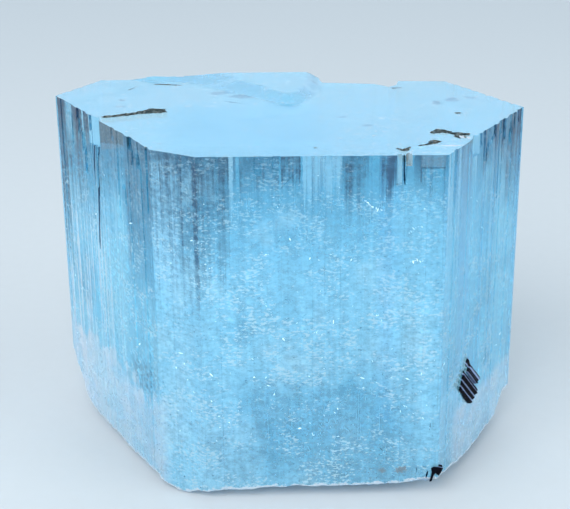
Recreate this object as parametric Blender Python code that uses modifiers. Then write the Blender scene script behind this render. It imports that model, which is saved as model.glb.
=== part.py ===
"""A stocky aquamarine crystal: a six-sided prism of beryl with a flat top and a broken base.

Two short black schorl crystals are grown into it, one in its front right face and one at the edge
of its base. Metres, +Z up. The origin is the middle of the resting face, the c-axis runs along +Z
and the widest front face looks along -Y.
"""

import math
import random

import bmesh
import bpy
from mathutils import Matrix, Vector, noise

MM = 0.001

# The prism. Each face: direction of its outward normal, in degrees from +X, and its distance from the axis.
TOP = 36.5 * MM
PRISM_FACES = {
    "back_right": (30, 22.5 * MM),
    "back": (90, 15.35 * MM),
    "back_left": (150, 25.8 * MM),
    "front_left": (210, 17.5 * MM),
    "front_left_corner": (240, 17.45 * MM),
    "front": (270, 15.35 * MM),
    "front_right_corner": (300, 20.8 * MM),
    "front_right": (330, 20.8 * MM),
}

# Growth striations: long shallow steps that run up every prism face.
BAND_WIDTH = (0.7 * MM, 2.4 * MM)
BAND_DEPTH = 0.16 * MM
BAND_RISER = 0.12 * MM
STRIATION_SEED = 7

# Where the right half of the back stands in a step, cut the full height: outline in plan, in mm.
BACK_STEP = [
    (3.9, 17.0), (4.0, 14.3), (4.25, 13.25), (10.15, 12.4), (11.6, 11.0), (12.5, 11.9), (12.85, 13.7),
    (18.0, 13.4), (24.0, 12.9), (24.0, 20.0), (3.9, 20.0),
]

# The raised growth layer at the back of the top: outline in plan, in mm, its height, and how wide
# its slope is from left to right, as (x, width) in mm.
MOUND = [
    (-18.3, 20.0), (-18.0, 15.4), (-16.6, 14.9), (-13.6, 14.2), (-11.2, 13.2), (-8.5, 10.8), (-6.0, 8.4),
    (-3.6, 6.8), (-2.2, 5.2), (-0.8, 3.9), (1.1, 3.7), (2.6, 5.4), (3.6, 8.2), (4.1, 11.6), (4.1, 20.0),
]
MOUND_RISE = 0.75 * MM
MOUND_SLOPES = [(-15.0, 0.9), (-8.0, 3.0), (-2.0, 1.2), (4.0, 1.4)]
MOUND_CELL = 0.7 * MM

# Bites etched into the top edge: outline in plan, in mm, and depth below the top.
EDGE_BITES = {
    "left_bite": (
        [(-20.5, 0.3), (-19.35, -0.3), (-18.85, -1.7), (-18.8, -2.4), (-19.8, -3.6), (-22.0, 0.0)],
        3.0 * MM,
    ),
    "front_bite": (
        [(10.35, -17.0), (10.45, -15.1), (11.0, -14.0), (11.3, -14.0), (11.8, -15.2), (11.85, -17.0)],
        3.0 * MM,
    ),
    "right_bite": (
        [(17.6, -11.5), (18.1, -10.2), (18.2, -9.1), (18.5, -8.75), (19.4, -8.7), (19.7, -7.9), (21.5, -8.5)],
        1.9 * MM,
    ),
}

# Etched fissures in the top: centre line in plan, in mm, with the width at each point, and depth.
FISSURES = {
    "left_fissure": (
        [(-19.0, -1.1, 1.0), (-16.6, 0.25, 0.9), (-15.0, 0.95, 0.8), (-13.6, 1.5, 1.9), (-12.3, 1.0, 0.3)],
        3.0 * MM,
    ),
    "front_fork": ([(10.5, -13.0, 0.2), (11.15, -13.8, 0.5), (11.8, -12.6, 0.2)], 1.2 * MM),
    "front_fissure": ([(12.7, -12.6, 0.3), (13.9, -11.6, 0.6), (14.9, -10.7, 1.2)], 1.2 * MM),
    "right_fissure": (
        [(14.4, -7.9, 0.5), (15.8, -7.2, 1.2), (16.4, -7.9, 0.5), (17.2, -8.6, 1.1), (18.3, -9.1, 0.9)],
        1.6 * MM,
    ),
}

# Shallow hexagonal etch pits in the top: place in plan, in mm, radius, and depth.
ETCH_PITS = [
    (-17.2, 11.1, 0.7 * MM, 0.25 * MM),
    (18.0, -0.15, 0.6 * MM, 0.4 * MM),
    (2.9, -12.7, 0.4 * MM, 0.3 * MM),
]

# The broken base is flat in the middle and rises to its rim: bearing seen from above, in degrees
# from +X, and height of the rim there, in mm.
RIM_HEIGHTS = [
    (0, 4.0), (4, 4.2), (37, 2.6), (60, 1.6), (90, 1.0), (120, 1.8), (144, 3.0), (158, 6.4), (162, 6.2),
    (164, 3.9), (167, 1.9), (170, 0.9), (188, 0.65), (205, 0.5), (224, 0.65), (230, -0.05), (233, 0.1),
    (239, 0.8), (252, 1.1), (274, 1.4), (292, 1.5), (306, 1.7), (313, 2.1), (318, 2.2), (327, 1.4),
    (338, 1.3), (345, 1.6), (351, 1.95), (356, 2.1), (360, 4.0),
]
FLAT_SHARE = 0.74
RIM_CURVE = 1.6
HACKLE = 0.3 * MM
HACKLE_SIZE = 2.2 * MM
BREAK_CELL = 1.25 * MM

# The schorl crystals: long prisms with a bowed three-sided, grooved section, given as shares of the
# radius. The side one lies in the front right face: along_face and height give its middle there, and
# sunk its depth behind the face. Angles are in degrees.
SCHORL_RIBS = 18
SCHORL_MEAN = 0.86
SCHORL_BOW = 0.14
SCHORL_GROOVE = 0.05
GROWN_IN_GAP = 0.3 * MM
SIDE_SCHORL = {
    "radius": 1.8 * MM,
    "tip": 1.0,
    "length": 6.1 * MM,
    "along_face": 1.2 * MM,
    "height": 10.3 * MM,
    "sunk": 1.3 * MM,
    "slope": -43,
    "dive": 8,
}
SIDE_SCHORL_SPLINTER = {
    "radius": 0.6 * MM,
    "tip": 0.15,
    "length": 3.0 * MM,
    "along_face": 1.0 * MM,
    "height": 12.0 * MM,
    "sunk": 0.45 * MM,
    "slope": 108,
    "dive": 0,
}
BASE_SCHORL = {
    "radius": 0.78 * MM,
    "tip": 1.0,
    "length": 2.4 * MM,
    "centre": (15.05 * MM, -14.15 * MM, 2.85 * MM),
    "turn": -10,
    "lift": 4,
}
BASE_SCHORL_HOLLOW = (0.42 * MM, 1.4 * MM, 1.1 * MM)
BASE_SCHORL_HOLLOW_SHIFT = -0.1 * MM

AQUAMARINE = ("aquamarine", (0.36, 0.68, 0.82, 1.0), 0.08, 1.0, 1.58)
SCHORL = ("schorl", (0.012, 0.012, 0.016, 1.0), 0.22, 0.0, 1.64)

# Room around the prism for what cuts it, and the angle under which neighbouring cells count as flat.
CUT_SIZE = (60 * MM, 44 * MM)
CUT_DEPTH = 6 * MM
FLAT_ANGLE = math.radians(0.4)
MERGE = 0.001 * MM


def clear_scene():
    for old in list(bpy.data.objects):
        bpy.data.objects.remove(old, do_unlink=True)


def new_collection(name):
    collection = bpy.data.collections.new(name)
    bpy.context.scene.collection.children.link(collection)
    return collection


def move_to(obj, collection):
    for owner in list(obj.users_collection):
        owner.objects.unlink(obj)
    collection.objects.link(obj)


def material(name, colour, roughness, transmission, ior):
    made = bpy.data.materials.new(name)
    made.use_nodes = True
    shader = made.node_tree.nodes["Principled BSDF"]
    shader.inputs["Base Color"].default_value = colour
    shader.inputs["Roughness"].default_value = roughness
    shader.inputs["Metallic"].default_value = 0.0
    shader.inputs["Transmission Weight"].default_value = transmission
    shader.inputs["IOR"].default_value = ior
    return made


def link(name, mesh, collection, finish=None):
    obj = bpy.data.objects.new(name, mesh)
    collection.objects.link(obj)
    if finish is not None:
        mesh.materials.append(finish)
    return obj


def mesh_from(name, work):
    """Turns a bmesh into a mesh with its faces pointing out."""
    bmesh.ops.remove_doubles(work, verts=work.verts, dist=MERGE)
    bmesh.ops.recalc_face_normals(work, faces=work.faces)
    mesh = bpy.data.meshes.new(name)
    work.to_mesh(mesh)
    work.free()
    mesh.shade_flat()
    return mesh


def in_metres(outline):
    return [(x * MM, y * MM) for x, y in outline]


def extruded(name, outline, bottom, top, collection, finish=None):
    """A closed mesh: a flat outline, in metres, raised from bottom to top."""
    curve = bpy.data.curves.new(name + "_outline", "CURVE")
    curve.dimensions = "2D"
    curve.fill_mode = "BOTH"
    curve.extrude = (top - bottom) / 2
    spline = curve.splines.new("POLY")
    spline.points.add(len(outline) - 1)
    for point, (x, y) in zip(spline.points, outline):
        point.co = (x, y, 0.0, 1.0)
    spline.use_cyclic_u = True
    guide = bpy.data.objects.new(name + "_guide", curve)
    guide.location.z = (top + bottom) / 2
    collection.objects.link(guide)
    bpy.context.view_layer.update()
    evaluated = guide.evaluated_get(bpy.context.evaluated_depsgraph_get())
    raised = bpy.data.meshes.new_from_object(evaluated)
    raised.transform(guide.matrix_world)
    bpy.data.objects.remove(guide, do_unlink=True)
    work = bmesh.new()
    work.from_mesh(raised)
    return link(name, mesh_from(name, work), collection, finish)


def unit(degrees):
    return Vector((math.cos(math.radians(degrees)), math.sin(math.radians(degrees))))


def face_corner(face, following):
    """Where two neighbouring prism faces meet, in plan."""
    n, d = unit(face[0]), face[1]
    m, e = unit(following[0]), following[1]
    area = n.x * m.y - n.y * m.x
    return Vector(((d * m.y - e * n.y) / area, (n.x * e - m.x * d) / area))


def striated_side(start, end, outward, rng):
    """Points from one prism edge to the next, stepping in and out of the face in long bands."""
    along = (end - start).normalized()
    length = (end - start).length
    points = [start]
    reached = rng.uniform(*BAND_WIDTH)
    while reached < length - BAND_WIDTH[0]:
        width = rng.uniform(*BAND_WIDTH)
        depth = rng.uniform(0.2, 1.0) * BAND_DEPTH
        stop = min(reached + width, length - BAND_WIDTH[0] / 2)
        for distance, inset in (
            (reached, 0.0),
            (reached + BAND_RISER, depth),
            (stop - BAND_RISER, depth),
            (stop, 0.0),
        ):
            points.append(start + along * distance - outward * inset)
        reached = stop + rng.uniform(*BAND_WIDTH)
    return points


def prism_outline():
    rng = random.Random(STRIATION_SEED)
    faces = list(PRISM_FACES.values())
    outline = []
    for i, face in enumerate(faces):
        start = face_corner(faces[i - 1], face)
        end = face_corner(face, faces[(i + 1) % len(faces)])
        outline += striated_side(start, end, unit(face[0]), rng)
    return outline


def ribbon(centre_line):
    """The outline of a band that follows a centre line of (x, y, width) points, in mm."""
    left, right = [], []
    for i, (x, y, width) in enumerate(centre_line):
        before = centre_line[max(i - 1, 0)]
        after = centre_line[min(i + 1, len(centre_line) - 1)]
        along = Vector((after[0] - before[0], after[1] - before[1])).normalized()
        side = Vector((-along.y, along.x)) * width / 2
        left.append((x + side.x, y + side.y))
        right.append((x - side.x, y - side.y))
    return left + right[::-1]


def depth_inside(x, y, outline):
    """How far inside an outline a point lies, or 0 outside it."""
    here = Vector((x, y))
    nearest = math.inf
    inside = False
    for start, end in zip(outline, outline[1:] + outline[:1]):
        a, b = Vector(start), Vector(end)
        edge = b - a
        share = min(max((here - a).dot(edge) / edge.length_squared, 0.0), 1.0)
        nearest = min(nearest, (here - a - edge * share).length)
        if (a.y > y) != (b.y > y) and x < a.x + (y - a.y) / edge.y * edge.x:
            inside = not inside
    return nearest if inside else 0.0


def eased(share):
    share = min(max(share, 0.0), 1.0)
    return share * share * (3 - 2 * share)


def between(pairs, place):
    """Reads a value from (place, value) pairs in order, level beyond the first and the last."""
    for (a, low), (b, high) in zip(pairs, pairs[1:]):
        if place <= b:
            return low + (high - low) * max(place - a, 0.0) / (b - a)
    return pairs[-1][1]


def top_height(x, y):
    """The flat top with its raised growth layer."""
    slope = between(MOUND_SLOPES, x / MM) * MM
    return TOP + MOUND_RISE * eased(depth_inside(x, y, in_metres(MOUND)) / slope)


def reach(x, y):
    """How far out a point lies: 0 on the axis and 1 on the prism's faces."""
    here = Vector((x, y))
    return max(here.dot(unit(angle)) / distance for angle, distance in PRISM_FACES.values())


def break_height(x, y):
    """The broken base's surface: under the flat middle it lies below the prism and cuts nothing."""
    out = (reach(x, y) - FLAT_SHARE) / (1 - FLAT_SHARE)
    if out <= 0:
        return -HACKLE
    rim = between(RIM_HEIGHTS, math.degrees(math.atan2(y, x)) % 360) * MM
    rough = noise.noise(Vector((x, y, 0.0)) / HACKLE_SIZE) * HACKLE * min(out * 2, 1.0)
    return rim * out**RIM_CURVE - HACKLE * (1 - min(out * 3, 1.0)) + rough


def sheet_cutter(name, cell, height_at, up, collection):
    """A cutter with one shaped side: a grid set to height_at(x, y), thickened up or down."""
    counts = [round(size / cell) for size in CUT_SIZE]
    bpy.ops.mesh.primitive_grid_add(x_subdivisions=counts[0], y_subdivisions=counts[1], size=1.0)
    sheet = bpy.context.object
    sheet.name = name
    move_to(sheet, collection)
    sheet.data.transform(Matrix.Diagonal((*CUT_SIZE, 1.0, 1.0)))
    for vertex in sheet.data.vertices:
        vertex.co.z = height_at(vertex.co.x, vertex.co.y)
    merge = sheet.modifiers.new("Merge flat cells", "DECIMATE")
    merge.decimate_type = "DISSOLVE"
    merge.angle_limit = FLAT_ANGLE
    sheet.modifiers.new("Triangulate", "TRIANGULATE")
    solid = sheet.modifiers.new("Solidify", "SOLIDIFY")
    solid.thickness = CUT_DEPTH
    solid.offset = 1.0 if up else -1.0
    return sheet


def etch_pit(name, x, y, radius, depth, collection):
    """A shallow hexagonal cone sunk point down into the top."""
    work = bmesh.new()
    bmesh.ops.create_cone(
        work, cap_ends=True, segments=6, radius1=0.0, radius2=radius * 2, depth=depth * 2,
        matrix=Matrix.Translation((x, y, TOP)),
    )
    return link(name, mesh_from(name, work), collection)


def schorl_prism(name, spec, place, collection, grow=0.0, finish=None):
    """A striated prism with three bowed sides, one of them flat up. grow swells it for a pocket."""
    work = bmesh.new()
    bmesh.ops.create_cone(
        work, cap_ends=True, segments=SCHORL_RIBS, radius1=1.0, radius2=1.0, depth=spec["length"] + 2 * grow,
        matrix=Matrix.Rotation(math.radians(90), 4, "Y"),
    )
    for vertex in work.verts:
        bearing = math.atan2(vertex.co.z, vertex.co.y)
        groove = SCHORL_GROOVE * (round(bearing / (2 * math.pi) * SCHORL_RIBS) % 2)
        section = SCHORL_MEAN - SCHORL_BOW * math.cos(3 * (bearing - math.pi / 2)) - groove
        taper = spec["tip"] if vertex.co.x > 0 else 1.0
        wide = spec["radius"] * section * taper + grow
        vertex.co.y *= wide
        vertex.co.z *= wide
    bmesh.ops.transform(work, matrix=place, verts=work.verts)
    return link(name, mesh_from(name, work), collection, finish)


def place_in_face(spec, face):
    """Lays a schorl's local +X along a prism face, sloping down it and out of it."""
    angle, distance = PRISM_FACES[face]
    out = unit(angle)
    along = Vector((-out.y, out.x))
    spot = out * (distance - spec["sunk"]) + along * spec["along_face"]
    face_frame = Matrix(
        (
            (along.x, 0.0, out.x, spot.x),
            (along.y, 0.0, out.y, spot.y),
            (0.0, 1.0, 0.0, spec["height"]),
            (0.0, 0.0, 0.0, 1.0),
        )
    )
    slope = Matrix.Rotation(math.radians(spec["slope"]), 4, "Z")
    dive = Matrix.Rotation(math.radians(-spec["dive"]), 4, "Y")
    return face_frame @ slope @ dive


def place_at_base(spec):
    turn = Matrix.Rotation(math.radians(-90 + spec["turn"]), 4, "Z")
    lift = Matrix.Rotation(math.radians(spec["lift"]), 4, "Y")
    return Matrix.Translation(spec["centre"]) @ turn @ lift


def boolean(obj, name, operation, other):
    modifier = obj.modifiers.new(name, "BOOLEAN")
    modifier.operation = operation
    if isinstance(other, bpy.types.Collection):
        modifier.operand_type = "COLLECTION"
        modifier.collection = other
    else:
        modifier.object = other


def hide_helpers(collection):
    for helper in collection.objects:
        helper.hide_render = True
        helper.display_type = "WIRE"


def add_side_schorl(parts, helpers, pockets, finish):
    """The schorl in the front right face, with its splinter, and the pockets that they fill."""
    place = place_in_face(SIDE_SCHORL, "front_right")
    splinter_place = place_in_face(SIDE_SCHORL_SPLINTER, "front_right")
    side = schorl_prism("schorl_side", SIDE_SCHORL, place, parts, finish=finish)
    splinter = schorl_prism("splinter", SIDE_SCHORL_SPLINTER, splinter_place, helpers)
    boolean(side, "Splinter", "UNION", splinter)
    schorl_prism("side_pocket", SIDE_SCHORL, place, pockets, grow=GROWN_IN_GAP)
    schorl_prism("splinter_pocket", SIDE_SCHORL_SPLINTER, splinter_place, pockets, grow=GROWN_IN_GAP)


def add_base_schorl(parts, helpers, pockets, finish):
    """The small schorl at the edge of the base, hollow below, and the pocket that it fills."""
    place = place_at_base(BASE_SCHORL)
    base = schorl_prism("schorl_base", BASE_SCHORL, place, parts, finish=finish)
    bpy.ops.mesh.primitive_cube_add(size=1.0)
    hollow = bpy.context.object
    hollow.name = "schorl_hollow"
    move_to(hollow, helpers)
    hollow.data.transform(Matrix.Diagonal((*BASE_SCHORL_HOLLOW, 1.0)))
    x, y, z = BASE_SCHORL["centre"]
    hollow.location = (
        x + BASE_SCHORL_HOLLOW_SHIFT,
        y - BASE_SCHORL["length"] / 2,
        z - BASE_SCHORL_HOLLOW[2] / 2,
    )
    boolean(base, "Hollow", "DIFFERENCE", hollow)
    schorl_prism("base_pocket", BASE_SCHORL, place, pockets, grow=GROWN_IN_GAP)


def add_cutters(cutters):
    lowest, above = -1 * MM, TOP + CUT_DEPTH / 2
    sheet_cutter("base_break", BREAK_CELL, break_height, False, cutters)
    sheet_cutter("top_growth", MOUND_CELL, top_height, True, cutters)
    extruded("back_step", in_metres(BACK_STEP), lowest, above, cutters)
    for name, (outline, depth) in EDGE_BITES.items():
        extruded(name, in_metres(outline), TOP - depth, above, cutters)
    for name, (centre_line, depth) in FISSURES.items():
        extruded(name, in_metres(ribbon(centre_line)), TOP - depth, above, cutters)
    for i, (x, y, radius, depth) in enumerate(ETCH_PITS):
        etch_pit(f"etch_pit_{i + 1}", x * MM, y * MM, radius, depth, cutters)


def build():
    clear_scene()
    parts = new_collection("aquamarine")
    cutters = new_collection("cutters")
    helpers = new_collection("helpers")
    black = material(*SCHORL)
    add_cutters(cutters)
    add_side_schorl(parts, helpers, cutters, black)
    add_base_schorl(parts, helpers, cutters, black)
    uncut_top = TOP + 2 * MOUND_RISE
    crystal = extruded("aquamarine_crystal", prism_outline(), 0.0, uncut_top, parts, material(*AQUAMARINE))
    boolean(crystal, "Cuts", "DIFFERENCE", cutters)
    hide_helpers(cutters)
    hide_helpers(helpers)


build()
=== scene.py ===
import math
import random

import bmesh
import bpy
from mathutils import Matrix, Vector, noise


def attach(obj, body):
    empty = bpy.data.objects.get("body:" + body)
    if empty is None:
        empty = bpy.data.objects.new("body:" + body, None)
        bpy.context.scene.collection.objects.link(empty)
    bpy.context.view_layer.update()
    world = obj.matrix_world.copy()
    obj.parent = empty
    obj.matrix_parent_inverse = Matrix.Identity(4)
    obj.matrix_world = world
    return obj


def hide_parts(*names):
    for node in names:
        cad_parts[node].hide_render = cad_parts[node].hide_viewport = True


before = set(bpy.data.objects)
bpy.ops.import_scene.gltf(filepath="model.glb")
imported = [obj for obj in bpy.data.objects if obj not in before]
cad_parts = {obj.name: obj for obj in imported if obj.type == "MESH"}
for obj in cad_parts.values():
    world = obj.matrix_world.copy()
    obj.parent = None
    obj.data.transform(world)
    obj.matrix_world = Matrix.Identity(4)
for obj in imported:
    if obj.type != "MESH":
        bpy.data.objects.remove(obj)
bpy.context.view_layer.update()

mm = 0.001
noiseSeed = 11
noise.seed_set(noiseSeed)   # without it noise_vector differs from run to run


# small helpers

def newMesh(name, verts, faces):
    mesh = bpy.data.meshes.new(name)
    mesh.from_pydata(verts, [], faces)
    mesh.update()
    return mesh


def newObject(name, mesh):
    obj = bpy.data.objects.new(name, mesh)
    bpy.context.scene.collection.objects.link(obj)
    return obj


def cleaned(mesh):
    # merged doubles and normals that point out
    work = bmesh.new()
    work.from_mesh(mesh)
    bmesh.ops.remove_doubles(work, verts=work.verts, dist=0.0005 * mm)
    bmesh.ops.recalc_face_normals(work, faces=work.faces)
    work.to_mesh(mesh)
    work.free()
    mesh.update()
    return mesh


def closeSeams(mesh):
    # welds what the cuts left apart and fills any slit
    work = bmesh.new()
    work.from_mesh(mesh)
    bmesh.ops.remove_doubles(work, verts=work.verts, dist=0.002 * mm)
    bmesh.ops.dissolve_degenerate(work, edges=work.edges, dist=0.001 * mm)
    slits = [edge for edge in work.edges if edge.is_boundary]
    if slits:
        bmesh.ops.holes_fill(work, edges=slits, sides=0)
    bmesh.ops.recalc_face_normals(work, faces=work.faces)
    left = sum(1 for edge in work.edges if not edge.is_manifold)
    print("open edges left:", left)
    work.to_mesh(mesh)
    work.free()
    mesh.update()


def bakeModifiers(obj):
    # keeps the result of the modifiers as the object's own mesh
    bpy.context.view_layer.update()
    depsgraph = bpy.context.evaluated_depsgraph_get()
    result = bpy.data.meshes.new_from_object(obj.evaluated_get(depsgraph))
    obj.modifiers.clear()
    old = obj.data
    obj.data = result
    bpy.data.meshes.remove(old)


def volumeOf(mesh):
    work = bmesh.new()
    work.from_mesh(mesh)
    volume = work.calc_volume()
    work.free()
    return volume


cutCheck = {
    "tries": 6,
    "volumeLeft": (0.6, 1.001),         # share of the volume that a sound cut leaves
    "nudge": (0.02, -0.015, 0.01),      # mm
}


def cutAway(obj, cutter):
    # one cut at a time; one that comes out empty or swollen is made again with the cutter moved a hair
    whole = volumeOf(obj.data)
    least, most = cutCheck["volumeLeft"]
    for attempt in range(cutCheck["tries"]):
        cut = obj.modifiers.new(cutter.name, "BOOLEAN")
        cut.operation = "DIFFERENCE"
        cut.object = cutter
        cut.solver = "EXACT"
        cut.material_mode = "TRANSFER"
        before = obj.data.copy()
        bakeModifiers(obj)
        if least * whole < volumeOf(obj.data) < most * whole:
            bpy.data.meshes.remove(before)
            return
        spoiled = obj.data
        obj.data = before
        bpy.data.meshes.remove(spoiled)
        cutter.location += Vector(cutCheck["nudge"]) * mm
        print("cut made again:", cutter.name)


def joinRings(faces, size, rings, first=0):
    # quads between rings of corners that follow each other
    for ring in range(rings - 1):
        for k in range(size):
            a, b = first + ring * size + k, first + ring * size + (k + 1) % size
            faces.append((a, b, b + size, a + size))


def addTubeFaces(faces, first):
    # the skin of a four-sided tube of four rings, closed at both ends
    joinRings(faces, 4, 4, first)
    faces.append(tuple(range(first, first + 4))[::-1])
    faces.append(tuple(range(first + 12, first + 16)))


def extrudedMesh(name, outline, low, high, upright=False):
    # a closed block on an outline in plan, or on an upright one that runs back from the front
    count = len(outline)
    verts = []
    for level in (low, high):
        for a, b in outline:
            verts.append((a * mm, level * mm, b * mm) if upright else (a * mm, b * mm, level * mm))
    faces = [(i, (i + 1) % count, (i + 1) % count + count, i + count) for i in range(count)]
    faces += [tuple(range(count)), tuple(range(count, 2 * count))]
    return cleaned(newMesh(name, verts, faces))


def unit(degrees):
    return Vector((math.cos(math.radians(degrees)), math.sin(math.radians(degrees))))


def eased(share):
    share = min(max(share, 0.0), 1.0)
    return share * share * (3 - 2 * share)


def between(pairs, place):
    # reads a value from (place, value) pairs in order
    for (a, low), (b, high) in zip(pairs, pairs[1:]):
        if place <= b:
            return low + (high - low) * max(place - a, 0.0) / (b - a)
    return pairs[-1][1]


def wave(x, y, size, seed):
    return noise.noise(Vector((x / size, y / size, seed)))


# the aquamarine

crystal = {
    "top": 36.5,            # mm, the flat top above the resting face
    "faces": [              # outward bearing in degrees, distance from the axis in mm
        (30, 22.5), (90, 15.35), (150, 25.8), (210, 17.5),
        (240, 17.45), (270, 15.35), (300, 20.8), (330, 20.8),
    ],
    "edgeChamfer": 0.07,    # mm
    "bandWidth": {
        270: (0.5, 2.2), 240: (0.5, 1.8), 300: (0.3, 1.0), 210: (0.2, 1.1),
        330: (0.2, 1.0), 30: (0.3, 1.2), 90: (0.5, 2.2), 150: (0.3, 1.4),
    },
    "bandDepth": 0.045,
    "riser": 0.05,
    "lastBand": 0.25,       # no band starts nearer than this to the end of a face
    "stepShare": 0.3,       # share of bands that step back a little further
    "stepDepth": 0.08,
    "slant": 0.02,          # how far a band may lean, as a share of its width
    "grooveShare": {210: 0.75, 240: 0.0, 270: 0.45, 300: 0.4, 330: 0.7, 30: 0.5, 90: 0.45, 150: 0.6},
    "grooveDepth": (0.05, 0.2),
    "grooveWidest": 0.9,    # broader bands run on without a groove
    "grooveLength": (1.0, 9.0),
    "rowsAbove": 0.45,      # mm between rows near the top
    "rowsBelow": 1.6,
    "fineRows": 12,         # how far down from the top the rows stay close
    "ripple": (0.02, 1.6, 7),   # depth, size across and size down of the unevenness of the faces
    "spare": (-1.0, 1.4),   # how far the wall runs past both ends before they are cut
    "seed": 11,
}


def faceCorner(face, following):
    n, d = unit(face[0]), face[1]
    m, e = unit(following[0]), following[1]
    area = n.x * m.y - n.y * m.x
    return Vector(((d * m.y - e * n.y) / area, (n.x * e - m.x * d) / area))


def wallColumns(rng):
    # one entry per column of the wall: place in plan, outward direction, band depth, groove depth and length
    faces = crystal["faces"]
    columns = []
    for i, face in enumerate(faces):
        start = faceCorner(faces[i - 1], face)
        end = faceCorner(face, faces[(i + 1) % len(faces)])
        out = unit(face[0])
        along = (end - start).normalized()
        length = (end - start).length
        chamfer = crystal["edgeChamfer"]
        reached = chamfer
        columns.append((start + along * reached, out, 0.0, 0.0, 0.0))
        while reached < length - chamfer - crystal["lastBand"]:
            width = rng.uniform(*crystal["bandWidth"][face[0]])
            stop = min(reached + width, length - chamfer - crystal["riser"])
            depth = rng.random() ** 2 * crystal["bandDepth"]
            if rng.random() < crystal["stepShare"]:
                depth += rng.random() * crystal["stepDepth"]
            slant = rng.uniform(-1, 1) * width * crystal["slant"]
            groove, grooveLength = 0.0, 0.0
            if width < crystal["grooveWidest"] and rng.random() < crystal["grooveShare"][face[0]]:
                groove = rng.uniform(*crystal["grooveDepth"])
                low, high = crystal["grooveLength"]
                grooveLength = low + (high - low) * rng.random() ** 2
            begin = reached + crystal["riser"]
            columns.append((start + along * begin, out, max(depth - slant, 0.0), groove, grooveLength))
            columns.append((start + along * stop, out, max(depth + slant, 0.0), groove, grooveLength))
            reached = stop
        columns.append((start + along * (length - chamfer), out, 0.0, 0.0, 0.0))
    return columns


def wallRows():
    bottom, above = crystal["spare"]
    top = crystal["top"] + above
    rows = [bottom]
    while rows[-1] < top - crystal["fineRows"]:
        rows.append(rows[-1] + crystal["rowsBelow"])
    while rows[-1] < top - crystal["rowsAbove"]:
        rows.append(rows[-1] + crystal["rowsAbove"])
    rows.append(top)
    return rows


def prismWall():
    # the six-sided prism with its striations, taller than the crystal at both ends
    rng = random.Random(crystal["seed"])
    columns = wallColumns(rng)
    rows = wallRows()
    ripple, rippleAcross, rippleDown = crystal["ripple"]
    verts, faces = [], []
    count = len(columns)
    for z in rows:
        for place, out, depth, groove, grooveLength in columns:
            inset = depth
            if groove and z > crystal["top"] - grooveLength:
                inset += groove
            inset += ripple * wave(place.x, place.y, rippleAcross, z / rippleDown)
            at = place - out * inset
            verts.append((at.x * mm, at.y * mm, z * mm))
    joinRings(faces, count, len(rows))
    faces.append(tuple(range(count))[::-1])
    faces.append(tuple(range((len(rows) - 1) * count, len(rows) * count)))
    print("prism wall:", count, "columns,", len(rows), "rows")
    return newObject("aquamarineBody", cleaned(newMesh("aquamarineBody", verts, faces)))


base = {
    "rim": [                # bearing in degrees and height of the broken rim in mm
        (0, 4.0), (4, 4.2), (37, 2.6), (60, 1.6), (90, 1.0), (120, 1.8), (144, 3.0), (158, 6.4), (162, 6.2),
        (164, 3.9), (167, 1.9), (170, 0.9), (188, 0.65), (205, 0.5), (224, 0.65), (230, 0.0), (233, 0.1),
        (239, 0.8), (252, 1.1), (274, 1.4), (292, 1.5), (306, 1.7), (313, 2.1), (318, 2.2), (327, 1.4),
        (338, 1.3), (345, 1.6), (351, 1.95), (356, 2.1), (360, 4.0),
    ],
    "flatShare": 0.74,
    "rimCurve": 1.6,
    "hackle": [(3.2, 0.30), (1.1, 0.24), (0.5, 0.13)],   # size and height in mm
    "flatPits": 0.5,        # mm, how deep the flat middle is pitted
    "cell": 0.3,
}


def reachOf(x, y):
    here = Vector((x, y))
    return max(here.dot(unit(angle)) / distance for angle, distance in crystal["faces"])


def baseHeight(x, y):
    out = (reachOf(x, y) - base["flatShare"]) / (1 - base["flatShare"])
    rough = sum(abs(wave(x, y, size, 3.1 + size)) * high * 2 for size, high in base["hackle"])
    pits = max(wave(x, y, 5.0, 8.0) + 0.15, 0.0) * base["flatPits"]
    if out <= 0:
        return rough * 0.8 + pits
    rim = between(base["rim"], math.degrees(math.atan2(y, x)) % 360)
    share = min(out * 2, 1.0)
    return rim * out ** base["rimCurve"] + (rough - 0.12 * share) * (1 - 0.35 * share) + pits * (1 - share)


mound = {
    "outline": [            # plan in mm
        (-18.3, 20.0), (-18.0, 15.4), (-16.6, 14.9), (-13.6, 14.2), (-11.2, 13.2), (-8.5, 10.8), (-6.0, 8.4),
        (-3.6, 6.8), (-2.2, 5.2), (-0.8, 3.9), (1.1, 3.7), (2.6, 5.4), (3.6, 8.2), (4.1, 11.6), (4.1, 20.0),
    ],
    "rise": 0.75,
    "slopes": [(-15.0, 1.6), (-8.0, 5.0), (-2.0, 2.4), (4.0, 1.4)],
    "cell": 0.4,
}


def depthInside(x, y, outline):
    here = Vector((x, y))
    nearest, inside = math.inf, False
    for start, end in zip(outline, outline[1:] + outline[:1]):
        a, b = Vector(start), Vector(end)
        edge = b - a
        share = min(max((here - a).dot(edge) / edge.length_squared, 0.0), 1.0)
        nearest = min(nearest, (here - a - edge * share).length)
        if (a.y > y) != (b.y > y) and x < a.x + (y - a.y) / edge.y * edge.x:
            inside = not inside
    return nearest if inside else 0.0


def topHeight(x, y):
    inside = depthInside(x, y, mound["outline"])
    if inside == 0:
        return crystal["top"]
    wobble = 1 + 0.25 * wave(x, y, 2.0, 5.0)
    return crystal["top"] + mound["rise"] * eased(inside * wobble / between(mound["slopes"], x))


sheetSize = (54.0, 34.0)    # mm, a little more than the crystal's plan


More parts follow.
